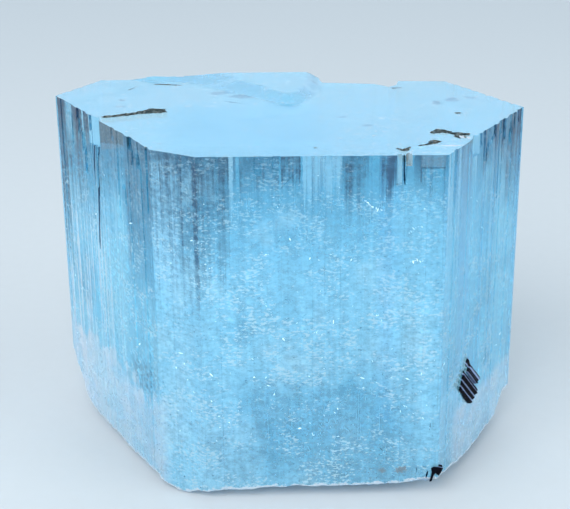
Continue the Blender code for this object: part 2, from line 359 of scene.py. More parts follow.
def sheetCutter(name, cell, heightAt, flatAt, zone):
    # a block whose one side follows heightAt(x, y) and whose other side lies flat at flatAt
    sizeX, sizeY = sheetSize
    countX, countY = round(sizeX / cell), round(sizeY / cell)
    verts, faces = [], []
    for j in range(countY + 1):
        for i in range(countX + 1):
            x, y = (i / countX - 0.5) * sizeX, (j / countY - 0.5) * sizeY
            verts.append((x * mm, y * mm, heightAt(x, y) * mm))
    for j in range(countY):
        for i in range(countX):
            a = j * (countX + 1) + i
            faces.append((a, a + 1, a + countX + 2, a + countX + 1))
    sheet = newObject(name, newMesh(name, verts, faces))
    merge = sheet.modifiers.new("Merge flat cells", "DECIMATE")
    merge.decimate_type = "DISSOLVE"
    merge.angle_limit = math.radians(0.25)
    sheet.modifiers.new("Triangulate", "TRIANGULATE")
    bakeModifiers(sheet)
    work = bmesh.new()
    work.from_mesh(sheet.data)
    border = [edge for edge in work.edges if edge.is_boundary]
    made = bmesh.ops.extrude_edge_only(work, edges=border)["geom"]
    for vert in [v for v in made if isinstance(v, bmesh.types.BMVert)]:
        vert.co.z = flatAt * mm
    rim = [edge for edge in work.edges if edge.is_boundary]
    bmesh.ops.contextual_create(work, geom=rim)
    bmesh.ops.recalc_face_normals(work, faces=work.faces)
    work.to_mesh(sheet.data)
    work.free()
    markCutter(sheet, zone)
    return sheet


zoneNames = ["side", "top", "base", "fissure", "bite", "crack"]


def markCutter(cutter, zone):
    # every cutter carries the same placeholder materials, and its own zone's number on its faces
    for name in zoneNames:
        title = "zone " + name
        cutter.data.materials.append(bpy.data.materials.get(title) or bpy.data.materials.new(title))
    for polygon in cutter.data.polygons:
        polygon.material_index = zoneNames.index(zone)


# what is bitten out of the top edge: outline in plan and depth in mm
bites = {
    "leftBite": (
        [(-20.4, 0.35), (-20.0, -0.12), (-18.95, -1.08), (-18.9, -2.4), (-19.8, -3.6), (-22.0, 0.0)], 3.0,
    ),
    "frontBite": ([(10.35, -17.0), (10.38, -15.0), (10.5, -14.85), (10.85, -14.85), (10.9, -17.0)], 2.9),
    "frontNotch": ([(11.2, -17.0), (11.22, -14.9), (11.5, -14.5), (11.8, -14.9), (11.85, -17.0)], 1.05),
    "rightBite": (
        [(17.6, -11.5), (18.1, -10.2), (18.2, -9.1), (18.5, -8.75), (19.4, -8.7), (19.7, -7.9), (21.5, -8.5)],
        1.9,
    ),
}
# the long step down the back, in plan
backStep = [
    (3.9, 17.0), (4.0, 14.3), (4.25, 13.25), (10.15, 12.4), (11.6, 11.0), (12.5, 11.9), (12.85, 13.7),
    (18.0, 13.4), (24.0, 12.9), (24.0, 20.0), (3.9, 20.0),
]
# etched slots in the top: (x, y, width) points along each and its depth in mm
fissures = {
    "leftFissure": (
        [(-18.4, -0.7, 0.7), (-17.0, -0.15, 0.75), (-15.6, 0.45, 0.85), (-14.6, 1.0, 0.9), (-13.6, 1.5, 1.6),
         (-12.3, 1.0, 0.3)], 2.8,
    ),
    "frontFork": ([(10.5, -13.0, 0.2), (11.15, -13.8, 0.5), (11.8, -12.6, 0.2)], 1.2),
    "frontFissure": ([(12.7, -12.2, 0.2), (13.7, -11.7, 0.35), (14.3, -10.9, 0.85), (14.7, -11.0, 0.4)], 0.7),
    "rightHook": ([(16.7, -8.5, 0.35), (16.62, -9.3, 0.35), (16.9, -9.8, 0.25)], 0.7),
    "rightSpeck": ([(17.42, -9.1, 0.25), (17.45, -9.7, 0.2)], 0.7),
    "rightFissure": (
        [(14.4, -7.9, 0.4), (15.3, -7.0, 1.1), (15.9, -7.6, 0.7), (16.3, -8.0, 0.2), (16.8, -8.15, 0.95),
         (17.25, -8.2, 0.6), (17.5, -8.4, 0.8), (17.8, -8.55, 0.45)], 0.9,
    ),
}
slot = {
    "step": 0.22,           # mm between the blocks that a slot is built from
    "uneven": (0.75, 1.2),  # share of the width
    "shallow": (0.55, 1.0),     # share of the depth
    "above": 2.5,           # mm above the top, so that the cut comes out clean
    "voxel": 0.13,
    "markVoxel": 0.05,
}


def extruded(name, outline, bottom, top, zone):
    cutter = newObject(name, extrudedMesh(name, outline, bottom, top))
    markCutter(cutter, zone)
    return cutter


def raggedSlot(name, centreLine, depth, rng, top=crystal["top"], voxel=slot["voxel"]):
    # a slot along (x, y, width) points with rough walls and a rough floor
    work = bmesh.new()
    for (ax, ay, aw), (bx, by, bw) in zip(centreLine, centreLine[1:]):
        steps = max(2, round(math.hypot(bx - ax, by - ay) / slot["step"]))
        for k in range(steps + 1):
            share = k / steps
            width = (aw + (bw - aw) * share) * rng.uniform(*slot["uneven"])
            low = top - depth * rng.uniform(*slot["shallow"]) * (0.45 + 0.55 * min(width / 0.8, 1.0))
            high = top + slot["above"]
            middle = Vector((ax + (bx - ax) * share, ay + (by - ay) * share, (low + high) / 2)) * mm
            turn = Matrix.Rotation(rng.uniform(0, 1.5), 4, "Z")
            size = Matrix.Diagonal((width * mm, width * mm, (high - low) * mm, 1))
            bmesh.ops.create_cube(work, size=1.0, matrix=Matrix.Translation(middle) @ turn @ size)
    mesh = bpy.data.meshes.new(name)
    work.to_mesh(mesh)
    work.free()
    cutter = newObject(name, mesh)
    melt = cutter.modifiers.new("One closed skin", "REMESH")
    melt.mode = "VOXEL"
    melt.voxel_size = voxel * mm
    bakeModifiers(cutter)
    for vert in cutter.data.vertices:
        coarse = noise.noise_vector(vert.co / (0.5 * mm)) * voxel
        fine = noise.noise_vector(vert.co / (0.2 * mm)) * voxel * 0.4
        vert.co += (coarse + fine) * mm
    markCutter(cutter, "fissure")
    return cutter


# small marks in the top: points with widths, depth, height of the surface there, and the zone of their walls
topMarks = {
    "moundScratch": ([(-14.5, 13.2, 0.28), (-13.0, 12.9, 0.34), (-11.6, 12.6, 0.2)], 0.3, 36.5, "fissure"),
    "cornerScratch": ([(-17.2, 10.7, 0.16), (-16.5, 12.0, 0.12)], 0.2, 36.5, "fissure"),
    "leftScratch": ([(-17.8, 6.3, 0.14), (-16.9, 6.2, 0.1)], 0.15, 36.5, "side"),
    "rightPit": ([(17.7, -0.4, 0.45), (18.0, -0.4, 0.35)], 0.4, 36.5, "fissure"),
    "rightScratch": ([(19.2, 6.2, 0.16), (20.4, 6.2, 0.1)], 0.15, 36.5, "side"),
    "rearMark": ([(12.0, 10.4, 0.3), (12.9, 10.5, 0.2)], 0.3, 36.5, "fissure"),
    "frontPit": ([(2.8, -12.6, 0.22), (3.0, -12.6, 0.16)], 0.25, 36.5, "fissure"),
    "footScratch": ([(-6.7, 5.4, 0.1), (-5.2, 4.6, 0.16), (-3.7, 3.7, 0.08)], 0.12, 36.5, "side"),
}

# cracks and grooves in the side faces: face bearing, (along, height, width) points, depth and zone
sideCracks = {
    "leftCrack": (
        210,
        [(-8.2, 33.6, 0.36), (-8.7, 28.5, 0.34), (-9.1, 24.5, 0.34), (-9.25, 22.9, 0.3), (-9.3, 22.0, 0.1)],
        0.5, "crack",
    ),
    "leftCrackBranch": (210, [(-9.1, 33.5, 0.34), (-9.45, 31.3, 0.28), (-9.75, 29.0, 0.05)], 0.4, "crack"),
    "frontCrack": (
        270, [(11.02, 37.6, 0.12), (11.05, 35.2, 0.14), (11.1, 34.2, 0.2), (11.15, 33.6, 0.05)], 0.5, "crack",
    ),
    "frontScratch": (270, [(-0.5, 33.3, 0.03), (0.3, 34.2, 0.07), (1.1, 35.0, 0.03)], 0.12, "crack"),
    "lowMarkLeft": (270, [(9.3, 5.85, 0.05), (9.4, 5.7, 0.18), (9.6, 5.45, 0.03)], 0.15, "crack"),
    "lowMarkMiddle": (270, [(13.05, 3.6, 0.03), (13.06, 3.3, 0.12), (13.07, 2.9, 0.03)], 0.15, "crack"),
    "lowMarkRight": (270, [(14.2, 3.1, 0.12), (14.12, 2.75, 0.26), (14.03, 2.35, 0.1)], 0.3, "crack"),
    "lowMarkUpper": (270, [(14.3, 8.6, 0.03), (14.28, 8.2, 0.1), (14.18, 7.8, 0.03)], 0.15, "crack"),
    "cornerGroove": (330, [(-3.6, 37.6, 0.12), (-3.55, 33.0, 0.1), (-3.5, 30.5, 0.03)], 0.25, "side"),
}


def crackCutter(name, bearing, points, depth, zone):
    # a thin wedge let into a side face along its points
    distance = dict(crystal["faces"])[bearing]
    out = unit(bearing)
    alongFace = Vector((-out.y, out.x))
    verts, faces = [], []
    for along, z, width in points:
        for side, reach in ((-width / 2, 0.05), (width / 2, 0.05), (0.0, -depth)):
            at = out * (distance + reach) + alongFace * (along + side)
            verts.append((at.x * mm, at.y * mm, z * mm))
    joinRings(faces, 3, len(points))
    last = len(verts)
    faces += [(0, 1, 2), (last - 1, last - 2, last - 3)]
    cutter = newObject(name, cleaned(newMesh(name, verts, faces)))
    markCutter(cutter, zone)
    return cutter


def addZones(obj):
    # turns the material numbers that the cuts left into one attribute for each zone, 1 on its faces
    mesh = obj.data
    names = [material.name.replace("zone ", "") for material in mesh.materials]
    found = [names[polygon.material_index] for polygon in mesh.polygons]
    for i, polygon in enumerate(mesh.polygons):
        if found[i] == "side" and polygon.normal.z > 0.9 and polygon.center.z > (crystal["top"] - 0.1) * mm:
            found[i] = "top"
    for zone in zoneNames[1:]:
        mask = mesh.attributes.new(zone, "FLOAT", "FACE")
        mask.data.foreach_set("value", [float(name == zone) for name in found])
    mesh.materials.clear()
    # height above the broken rim, for the frosting and painted highlight along it
    aboveRim = mesh.attributes.new("aboveRim", "FLOAT", "POINT")
    heights = [vert.co.z / mm - baseHeight(vert.co.x / mm, vert.co.y / mm) for vert in mesh.vertices]
    aboveRim.data.foreach_set("value", heights)


def buildAquamarine():
    body = prismWall()
    markCutter(body, "side")
    rng = random.Random(5)
    top = crystal["top"]
    clear = top + slot["above"]
    cutters = [
        sheetCutter("baseBreak", base["cell"], baseHeight, -3.0, "base"),
        sheetCutter("topGrowth", mound["cell"], topHeight, top + 4, "top"),
        extruded("backStep", backStep, -2.0, clear, "side"),
    ]
    for name, (outline, depth) in bites.items():
        cutters.append(extruded(name, outline, top - depth, clear, "bite"))
    for name, (centreLine, depth) in fissures.items():
        cutters.append(raggedSlot(name, centreLine, depth, rng))
    for name, (centreLine, depth, surface, zone) in topMarks.items():
        mark = raggedSlot(name, centreLine, depth, rng, surface, slot["markVoxel"])
        for polygon in mark.data.polygons:
            polygon.material_index = zoneNames.index(zone)
        cutters.append(mark)
    for name, (bearing, points, depth, zone) in sideCracks.items():
        cutters.append(crackCutter(name, bearing, points, depth, zone))
    for cutter in cutters:
        cutAway(body, cutter)
        bpy.data.objects.remove(cutter, do_unlink=True)
    closeSeams(body.data)
    addZones(body)
    print("aquamarine:", len(body.data.polygons), "faces")
    return body


# the schorl crystals

# the black crystal in the front right face lies in a frame of its own: x down its length, y across it and
# z out of the face
sideSchorl = {
    "face": 330,
    "along": 1.2,           # mm
    "height": 10.3,
    "slope": -46,           # degrees
    "proud": 0.17,          # mm above the face in the middle of its length
    "rise": 0.065,          # how it climbs out of the face towards its lower end
    "buried": -1.5,
    "gridStep": 0.3,
}
# each blade: (y, rib height, x at its upper end, x at its lower end), edge to edge
lowerBlade = [
    (-1.64, -0.30, -1.0, 2.35), (-1.56, 0.00, -1.15, 2.42), (-1.34, 0.15, -1.3, 2.52),
    (-1.12, -0.02, -1.25, 2.58), (-0.98, 0.02, -1.3, 2.62), (-0.76, 0.16, -1.5, 2.68),
    (-0.52, 0.00, -1.55, 2.76), (-0.40, 0.03, -1.6, 2.80), (-0.10, 0.20, -1.7, 2.92),
    (0.12, 0.05, -1.75, 2.96), (0.24, 0.10, -1.8, 2.98), (0.42, -0.05, -1.8, 2.96),
    (0.50, -0.35, -1.8, 2.88),
]
upperBlade = [
    (0.58, -0.32, -0.9, 2.20), (0.64, 0.02, -0.95, 2.24), (0.84, 0.18, -0.95, 2.32), (1.02, 0.00, -0.9, 2.40),
    (1.12, 0.04, -0.9, 2.46), (1.32, 0.17, -0.85, 2.54), (1.48, 0.02, -0.8, 2.60), (1.60, -0.02, -0.75, 2.62),
    (1.68, -0.35, -0.7, 2.60),
]
buriedPart = [
    (-1.60, -0.9, -2.2, 0.0), (-1.50, -0.24, -2.3, 0.0), (-1.0, -0.14, -2.45, 0.0), (-0.4, -0.24, -2.3, 0.0),
    (0.1, -0.16, -2.2, 0.0), (0.5, -0.2, -1.9, 0.0), (1.1, -0.26, -1.5, 0.0), (1.6, -0.9, -1.2, 0.0),
]
splinter = [
    (-1.95, 0.35, -0.25), (-2.15, 1.2, -0.1), (-2.42, 1.95, -0.2), (-1.7, 1.75, 0.14), (-0.8, 1.55, 0.1),
    (-1.1, 0.7, -0.1),
]
baseArch = {
    "outline": [            # x and height in mm, as seen from the front
        (14.40, 1.95), (14.62, 3.00), (14.50, 3.42), (14.78, 3.62), (15.20, 3.58), (15.72, 3.46),
        (15.55, 3.05), (15.33, 2.62), (15.12, 2.78), (14.98, 2.96), (14.84, 2.75), (14.72, 2.40),
        (14.62, 2.00),
    ],
    "front": -15.47,
    "rear": -14.6,
}


def bladeMesh(name, ribs, slopes=True):
    # ribs side by side, each with its own ends, closed below
    s = sideSchorl
    longest = max(end - start for _, _, start, end in ribs)
    steps = max(2, round(longest / s["gridStep"]))
    rng = random.Random(len(ribs))
    verts, faces = [], []
    count = len(ribs) + 2
    for k in range(steps + 1):
        share = k / steps
        ring = []
        for y, height, start, end in ribs:
            x = start + (end - start) * share
            climb = s["proud"] + s["rise"] * x if slopes else 0.0
            ring.append((x, y, height + climb + rng.uniform(-0.012, 0.012)))
        first, last = ring[0], ring[-1]
        ring.append((last[0], last[1] - 0.15, s["buried"]))
        ring.append((first[0], first[1] + 0.15, s["buried"]))
        verts += [(x * mm, y * mm, z * mm) for x, y, z in ring]
    for k in range(steps):
        for i in range(count):
            a, b = k * count + i, k * count + (i + 1) % count
            faces.append((a, a + count, b + count, b))
    # the ends are fans round their middles, because their corners don't lie in one plane
    for row, turned in ((0, False), (steps, True)):
        corners = range(row * count, (row + 1) * count)
        middle = [sum(verts[c][axis] for c in corners) / count for axis in range(3)]
        verts.append(middle)
        for i in range(count):
            a, b = row * count + i, row * count + (i + 1) % count
            faces.append((len(verts) - 1, b, a) if turned else (len(verts) - 1, a, b))
    return cleaned(newMesh(name, verts, faces))


def schorlFrame():
    s = sideSchorl
    out = unit(s["face"])
    along = Vector((-out.y, out.x))
    spot = out * dict(crystal["faces"])[s["face"]] + along * s["along"]
    faceFrame = Matrix((
        (along.x, 0, out.x, spot.x * mm),
        (along.y, 0, out.y, spot.y * mm),
        (0, 1, 0, s["height"] * mm),
        (0, 0, 0, 1),
    ))
    return faceFrame @ Matrix.Rotation(math.radians(s["slope"]), 4, "Z")


def splinterMesh():
    # an outline with a height at each point, closed by the same outline deep inside
    count = len(splinter)
    verts = [(x * mm, y * mm, z * mm) for x, y, z in splinter]
    verts += [(x * mm, y * mm, -0.6 * mm) for x, y, z in splinter]
    faces = [(i, (i + 1) % count, (i + 1) % count + count, i + count) for i in range(count)]
    middle = [sum(v[axis] for v in verts[:count]) / count for axis in range(3)]
    middle[2] += 0.1 * mm
    verts.append(middle)
    faces += [(2 * count, (i + 1) % count, i) for i in range(count)]
    faces.append(tuple(range(count, 2 * count)))
    return cleaned(newMesh("schorlSideSplinter", verts, faces))


def buildSchorls():
    place = schorlFrame()
    pieces = []
    for name, ribs, slopes in (
        ("schorlLowerBlade", lowerBlade, True),
        ("schorlUpperBlade", upperBlade, True),
        ("schorlBuriedPart", buriedPart, False),
    ):
        pieces.append(newObject(name, bladeMesh(name, ribs, slopes)))
    pieces.append(newObject("schorlSideSplinter", splinterMesh()))
    for piece in pieces:
        piece.matrix_world = place
    name = "schorlBaseCrystal"
    arch = newObject(name, extrudedMesh(name, baseArch["outline"], baseArch["front"], baseArch["rear"], True))
    print("schorl crystals done")
    return pieces, arch


# what grew inside the crystal

inclusions = {
    "flakes": 1500,
    "flakeRadius": (0.04, 0.2),    # mm
    "flakeThickness": 0.03,
    "flakeHeights": (1.5, 35.5, 14.0),      # lowest, highest and commonest
    "trails": 60,                   # short curved rows of flakes
    "trailFlakes": (4, 9),
    "trailStep": (0.12, 0.3),
    "trailRadius": (0.05, 0.13),
    "needles": 150,
    "needleLength": (0.6, 6.0),
    "needleWidth": 0.035,
    "needleDepth": (0.15, 1.6),
    "needleHeights": (3.0, 35.0),
    "depth": (0.12, 2.2),           # mm below the faces
    "surfaceShare": 0.3,            # share of the flakes that lie right under the surface
    "surfaceDepth": (0.04, 0.1),
    "groupDepth": (0.05, 0.3),
    "clearBelow": 0.5,              # mm kept free above the broken base
    "clearAbove": 0.3,              # and under the top
    "backStep": (3.0, 10.0),        # nothing lies beyond these x and y
    "clearOfFaces": 0.997,
    "seed": 23,
}
# groups of flakes seen through the front face: x, height, half width, half height in mm, how many and
# the largest radius
flakeGroups = [
    (-8.5, 27.4, 1.1, 0.9, 46, 0.07), (-7.8, 25.6, 1.5, 0.45, 26, 0.12), (-1.7, 27.0, 0.45, 0.3, 16, 0.14),
    (-7.9, 30.4, 0.5, 0.35, 14, 0.1), (8.7, 20.5, 0.4, 0.35, 18, 0.16), (5.3, 20.5, 0.3, 0.25, 10, 0.13),
    (2.8, 18.5, 0.5, 0.2, 8, 0.14), (14.0, 14.7, 0.9, 0.4, 16, 0.12), (11.8, 10.4, 0.6, 0.35, 16, 0.13),
    (14.4, 11.7, 0.7, 0.35, 14, 0.12), (5.2, 10.8, 0.8, 0.5, 18, 0.11), (7.8, 13.4, 0.7, 0.5, 14, 0.1),
    (-5.4, 22.2, 0.6, 0.5, 14, 0.12), (-4.0, 17.4, 1.4, 0.3, 20, 0.11), (-9.0, 11.6, 1.0, 0.5, 22, 0.12),
    (0.6, 14.2, 1.1, 0.4, 16, 0.1), (-6.4, 9.4, 0.9, 0.6, 22, 0.12), (1.9, 8.9, 0.8, 0.4, 14, 0.11),
    (10.2, 16.8, 0.9, 0.4, 14, 0.11), (-2.6, 31.5, 0.6, 0.6, 10, 0.09),
]
# long bright plates and threads: x, height of the middle, length, width, lean in mm
plates = [
    (-5.72, 24.0, 1.6, 0.2, -0.35), (-4.05, 27.0, 1.3, 0.06, 0.0), (-3.8, 27.0, 1.2, 0.06, 0.0),
    (9.5, 33.2, 0.9, 0.05, 0.0), (9.0, 5.0, 0.8, 0.08, 0.0), (3.3, 29.2, 0.7, 0.12, -0.2),
    (-5.1, 34.9, 2.4, 0.07, 0.0), (12.9, 34.6, 2.0, 0.08, 0.05),
]
plateDepth = 0.12    # mm behind the front face
# share of the flakes on each face, by its bearing
flakeFaces = [
    (270, 0.56), (240, 0.1), (210, 0.14), (300, 0.03), (330, 0.11), (30, 0.02), (90, 0.02), (150, 0.02),
]


def faceSpot(bearing, share, depth):
    # a point in plan on one of the prism's faces, share of the way along it and depth mm inside
    faces = crystal["faces"]
    i = [angle for angle, distance in faces].index(bearing)
    start = faceCorner(faces[i - 1], faces[i])
    end = faceCorner(faces[i], faces[(i + 1) % len(faces)])
    return start + (end - start) * share - unit(bearing) * depth


def addFlake(verts, faces, centre, out, radius, rng):
    # a thin six-sided flake, thickest in its middle
    tilt = Vector((rng.gauss(0, 0.5), rng.gauss(0, 0.5), rng.gauss(0, 0.5)))
    normal = (out + tilt).normalized()
    side = normal.cross(Vector((0, 0, 1))).normalized()
    up = side.cross(normal)
    longer = rng.uniform(1.0, 3.4)
    first = len(verts)
    thick = inclusions["flakeThickness"]
    verts.append((centre + normal * thick) * mm)
    verts.append((centre - normal * thick) * mm)
    turn = rng.random() * 6.28
    for k in range(6):
        bearing = k * math.pi / 3
        reach = radius * rng.uniform(0.6, 1.1)
        a, b = math.cos(bearing) * reach * longer, math.sin(bearing) * reach * 0.5
        spin = side * (a * math.cos(turn) - b * math.sin(turn))
        spin += up * (a * math.sin(turn) + b * math.cos(turn))
        verts.append((centre + spin) * mm)
    for k in range(6):
        here, after = first + 2 + k, first + 2 + (k + 1) % 6
        faces.append((first, here, after))
        faces.append((first + 1, after, here))


def addPlate(verts, faces, centre, length, width, lean):
    # a long thin plate, pointed at both ends, that stands almost upright
    first = len(verts)
    for share, wide in ((-0.5, 0.1), (-0.2, 0.8), (0.25, 1.0), (0.5, 0.1)):
        middle = centre + Vector((lean * share, 0, length * share))
        for side, back in ((-0.5, 0.0), (0.0, -0.35), (0.5, 0.0), (0.0, 0.35)):
            verts.append((middle + Vector((side * width * wide, back * width * wide, 0))) * mm)
    addTubeFaces(faces, first)


def insideCrystal(spot, z):
    # keeps inclusions clear of the broken base, the steps and the slots
    i = inclusions
    if z < baseHeight(spot.x, spot.y) + i["clearBelow"] or z > crystal["top"] - i["clearAbove"]:
        return False
    if spot.x > i["backStep"][0] and spot.y > i["backStep"][1]:
        return False
    return reachOf(spot.x, spot.y) < i["clearOfFaces"]


def buildFlakes():
    i = inclusions
    rng = random.Random(i["seed"])
    verts, faces = [], []
    bearings = [bearing for bearing, share in flakeFaces]
    shares = [share for bearing, share in flakeFaces]
    placed = 0
    trail = None
    while placed < i["flakes"]:
        bearing = rng.choices(bearings, shares)[0]
        out = unit(bearing)
        share = rng.uniform(0.02, 0.98)
        z = rng.triangular(*i["flakeHeights"])
        cluster = wave(share * 30 + bearing, z, 5.0, 2.0)
        if cluster + rng.uniform(-0.35, 0.35) < 0.0:
            continue
        depth = i["depth"][0] + (i["depth"][1] - i["depth"][0]) * rng.random() ** 2
        if rng.random() < i["surfaceShare"]:
            depth = rng.uniform(*i["surfaceDepth"])
        spot = faceSpot(bearing, share, depth)
        if not insideCrystal(spot, z):
            continue
        radius = i["flakeRadius"][0] + (i["flakeRadius"][1] - i["flakeRadius"][0]) * rng.random() ** 4
        centre = Vector((spot.x, spot.y, z))
        outward = Vector((out.x, out.y, 0))
        addFlake(verts, faces, centre, outward, radius, rng)
        placed += 1
        if rng.random() < i["trails"] / i["flakes"]:
            along = Vector((-out.y, out.x, 0))
            heading, at = rng.uniform(-0.7, 0.7), centre
            for _ in range(rng.randint(*i["trailFlakes"])):
                heading += rng.uniform(-0.5, 0.5)
                ahead = along * math.cos(heading) + Vector((0, 0, math.sin(heading)))
                at = at + ahead * rng.uniform(*i["trailStep"])
                if insideCrystal(at.xy, at.z):
                    addFlake(verts, faces, at, outward, rng.uniform(*i["trailRadius"]), rng)
    front = Vector((0, -1, 0))
    frontFace = -dict(crystal["faces"])[270]
    for x, z, halfWidth, halfHeight, count, largest in flakeGroups:
        for _ in range(count):
            depth = rng.uniform(*i["groupDepth"])
            across = x + rng.gauss(0, 0.5) * halfWidth
            at = Vector((across, frontFace + depth, z + rng.gauss(0, 0.5) * halfHeight))
            if insideCrystal(at.xy, at.z):
                addFlake(verts, faces, at, front, largest * rng.uniform(0.4, 1.0), rng)
    for x, z, length, width, lean in plates:
        addPlate(verts, faces, Vector((x, frontFace + plateDepth, z)), length, width, lean)
    print("flakes:", len(faces), "faces")
    return newObject("innerFlakes", newMesh("innerFlakes", verts, faces))


def buildNeedles():
    # fine hollow tubes that run along the crystal's length
    i = inclusions
    rng = random.Random(i["seed"] + 1)
    verts, faces = [], []
    bearings = [bearing for bearing, share in flakeFaces]
    shares = [share for bearing, share in flakeFaces]
    made = 0
    while made < i["needles"]:
        bearing = rng.choices(bearings, shares)[0]
        depth = rng.uniform(*i["needleDepth"])
        spot = faceSpot(bearing, rng.uniform(0.03, 0.97), depth)
        length = i["needleLength"][0] + (i["needleLength"][1] - i["needleLength"][0]) * rng.random() ** 3
        z = rng.uniform(i["needleHeights"][0], i["needleHeights"][1] - length)
        if not (insideCrystal(spot, z) and insideCrystal(spot, z + length)):
            continue
        wide = i["needleWidth"] * rng.uniform(0.6, 1.3)
        first = len(verts)
        lean = rng.uniform(-0.05, 0.05)
        for level, size in ((0, 0.3), (0.1, 1.0), (0.9, 1.0), (1.0, 0.3)):
            for dx, dy in ((wide, 0), (0, wide), (-wide, 0), (0, -wide)):
                across = spot.x + dx * size + lean * level
                verts.append((across * mm, (spot.y + dy * size) * mm, (z + length * level) * mm))
        addTubeFaces(faces, first)
        made += 1
    print("needles:", made)
    return newObject("innerNeedles", newMesh("innerNeedles", verts, faces))


# materials

def newMaterial(name):
    material = bpy.data.materials.new(name)
    material.use_nodes = True
    return material, material.node_tree


def addNode(tree, kind, **settings):
    # settings that are sockets go to the socket, by name with _ for spaces; the rest to the node
    node = tree.nodes.new("ShaderNode" + kind)
    for key, value in settings.items():
        socket = node.inputs.get(key.replace("_", " "))
        if socket is None:
            setattr(node, key, value)
        elif isinstance(value, bpy.types.NodeSocket):
            tree.links.new(value, socket)
        else:
            socket.default_value = value
    return node


def feed(tree, value, socket):
    if isinstance(value, bpy.types.NodeSocket):
        tree.links.new(value, socket)
    else:
        socket.default_value = value


def calc(tree, operation, a, b=0.0, clamp=False):
    node = tree.nodes.new("ShaderNodeMath")
    node.operation = operation
    node.use_clamp = clamp
    feed(tree, a, node.inputs[0])
    feed(tree, b, node.inputs[1])
    return node.outputs[0]


def ramp(tree, value, low, high, outLow=0.0, outHigh=1.0):
    # smooth step from low to high
    node = tree.nodes.new("ShaderNodeMapRange")
    node.interpolation_type = "SMOOTHSTEP"
    feed(tree, value, node.inputs["Value"])
    for name, setting in zip(("From Min", "From Max", "To Min", "To Max"), (low, high, outLow, outHigh)):
        feed(tree, setting, node.inputs[name])
    return node.outputs["Result"]


def blend(tree, share, under, over, mode="MIX"):
    node = tree.nodes.new("ShaderNodeMix")
    node.data_type = "RGBA"
    node.blend_type = mode
    feed(tree, share, node.inputs[0])
    feed(tree, under, node.inputs[6])
    feed(tree, over, node.inputs[7])
    return node.outputs[2]


def mapped(tree, vector, scale, place=(0, 0, 0)):
    return addNode(tree, "Mapping", Vector=vector, Scale=scale, Location=place).outputs[0]


def cloud(tree, vector, detail=2.0, roughness=0.5):
    return addNode(tree, "TexNoise", Vector=vector, Scale=1.0, Detail=detail, Roughness=roughness).outputs[0]


def combineColour(tree, value):
    node = tree.nodes.new("ShaderNodeCombineColor")
    for socket in node.inputs[:3]:
        feed(tree, value, socket)
    return node.outputs[0]


def times(tree, colour, value):
    return blend(tree, 1.0, colour, combineColour(tree, value), "MULTIPLY")


def placeInMm(tree):
    return mapped(tree, addNode(tree, "TexCoord").outputs["Object"], (1000, 1000, 1000))


def newGroup(name, inputs, outputs):
    group = bpy.data.node_groups.new(name, "ShaderNodeTree")
    for title, kind, value in inputs:
        socket = group.interface.new_socket(title, in_out="INPUT", socket_type="NodeSocket" + kind)
        if value is not None:
            socket.default_value = value
    for title, kind in outputs:
        group.interface.new_socket(title, in_out="OUTPUT", socket_type="NodeSocket" + kind)
    return group, group.nodes.new("NodeGroupInput").outputs, group.nodes.new("NodeGroupOutput").inputs


def placeGroup(tree, group, **values):
    node = tree.nodes.new("ShaderNodeGroup")
    node.node_tree = group
    for key, value in values.items():
        feed(tree, value, node.inputs[key.replace("_", " ")])
    return node.outputs


def combineVector(tree, x, y, z):
    node = tree.nodes.new("ShaderNodeCombineXYZ")
    for socket, value in zip(node.inputs, (x, y, z)):
        feed(tree, value, socket)
    return node.outputs[0]


def makeGrainGroup():
    # fine uneven tone, and a bump height to go with it
    group, given, result = newGroup(
        "fine grain",
        [("Position", "Vector", None), ("Size", "Float", 0.3), ("Strength", "Float", 0.1)],
        [("Tone", "Float"), ("Height", "Float")],
    )
    scaled = group.nodes.new("ShaderNodeVectorMath")
    scaled.operation = "SCALE"
    group.links.new(given["Position"], scaled.inputs[0])
    group.links.new(calc(group, "DIVIDE", 1.0, given["Size"]), scaled.inputs["Scale"])
    grain = cloud(group, scaled.outputs[0], 3.0, 0.6)
    centred = calc(group, "MULTIPLY", calc(group, "SUBTRACT", grain, 0.5), given["Strength"])
    group.links.new(calc(group, "ADD", 1.0, calc(group, "MULTIPLY", centred, 2.0)), result["Tone"])
    group.links.new(grain, result["Height"])
    return group


def makeStreakGroup():
    # lines drawn out along z, broken up over their length
    group, given, result = newGroup(
        "drawn streaks",
        [
            ("Position", "Vector", None), ("Width", "Float", 0.5), ("Length", "Float", 12.0),
            ("Shift", "Float", 0.0),
        ],
        [("Streak", "Float")],
    )
    parts = group.nodes.new("ShaderNodeSeparateXYZ")
    group.links.new(given["Position"], parts.inputs[0])
    across = [calc(group, "DIVIDE", parts.outputs[i], given["Width"]) for i in range(2)]
    down = calc(group, "ADD", calc(group, "DIVIDE", parts.outputs[2], given["Length"]), given["Shift"])
    group.links.new(cloud(group, combineVector(group, *across, down), 2.0, 0.6), result["Streak"])
    return group


grainGroup = makeGrainGroup()
streakGroup = makeStreakGroup()


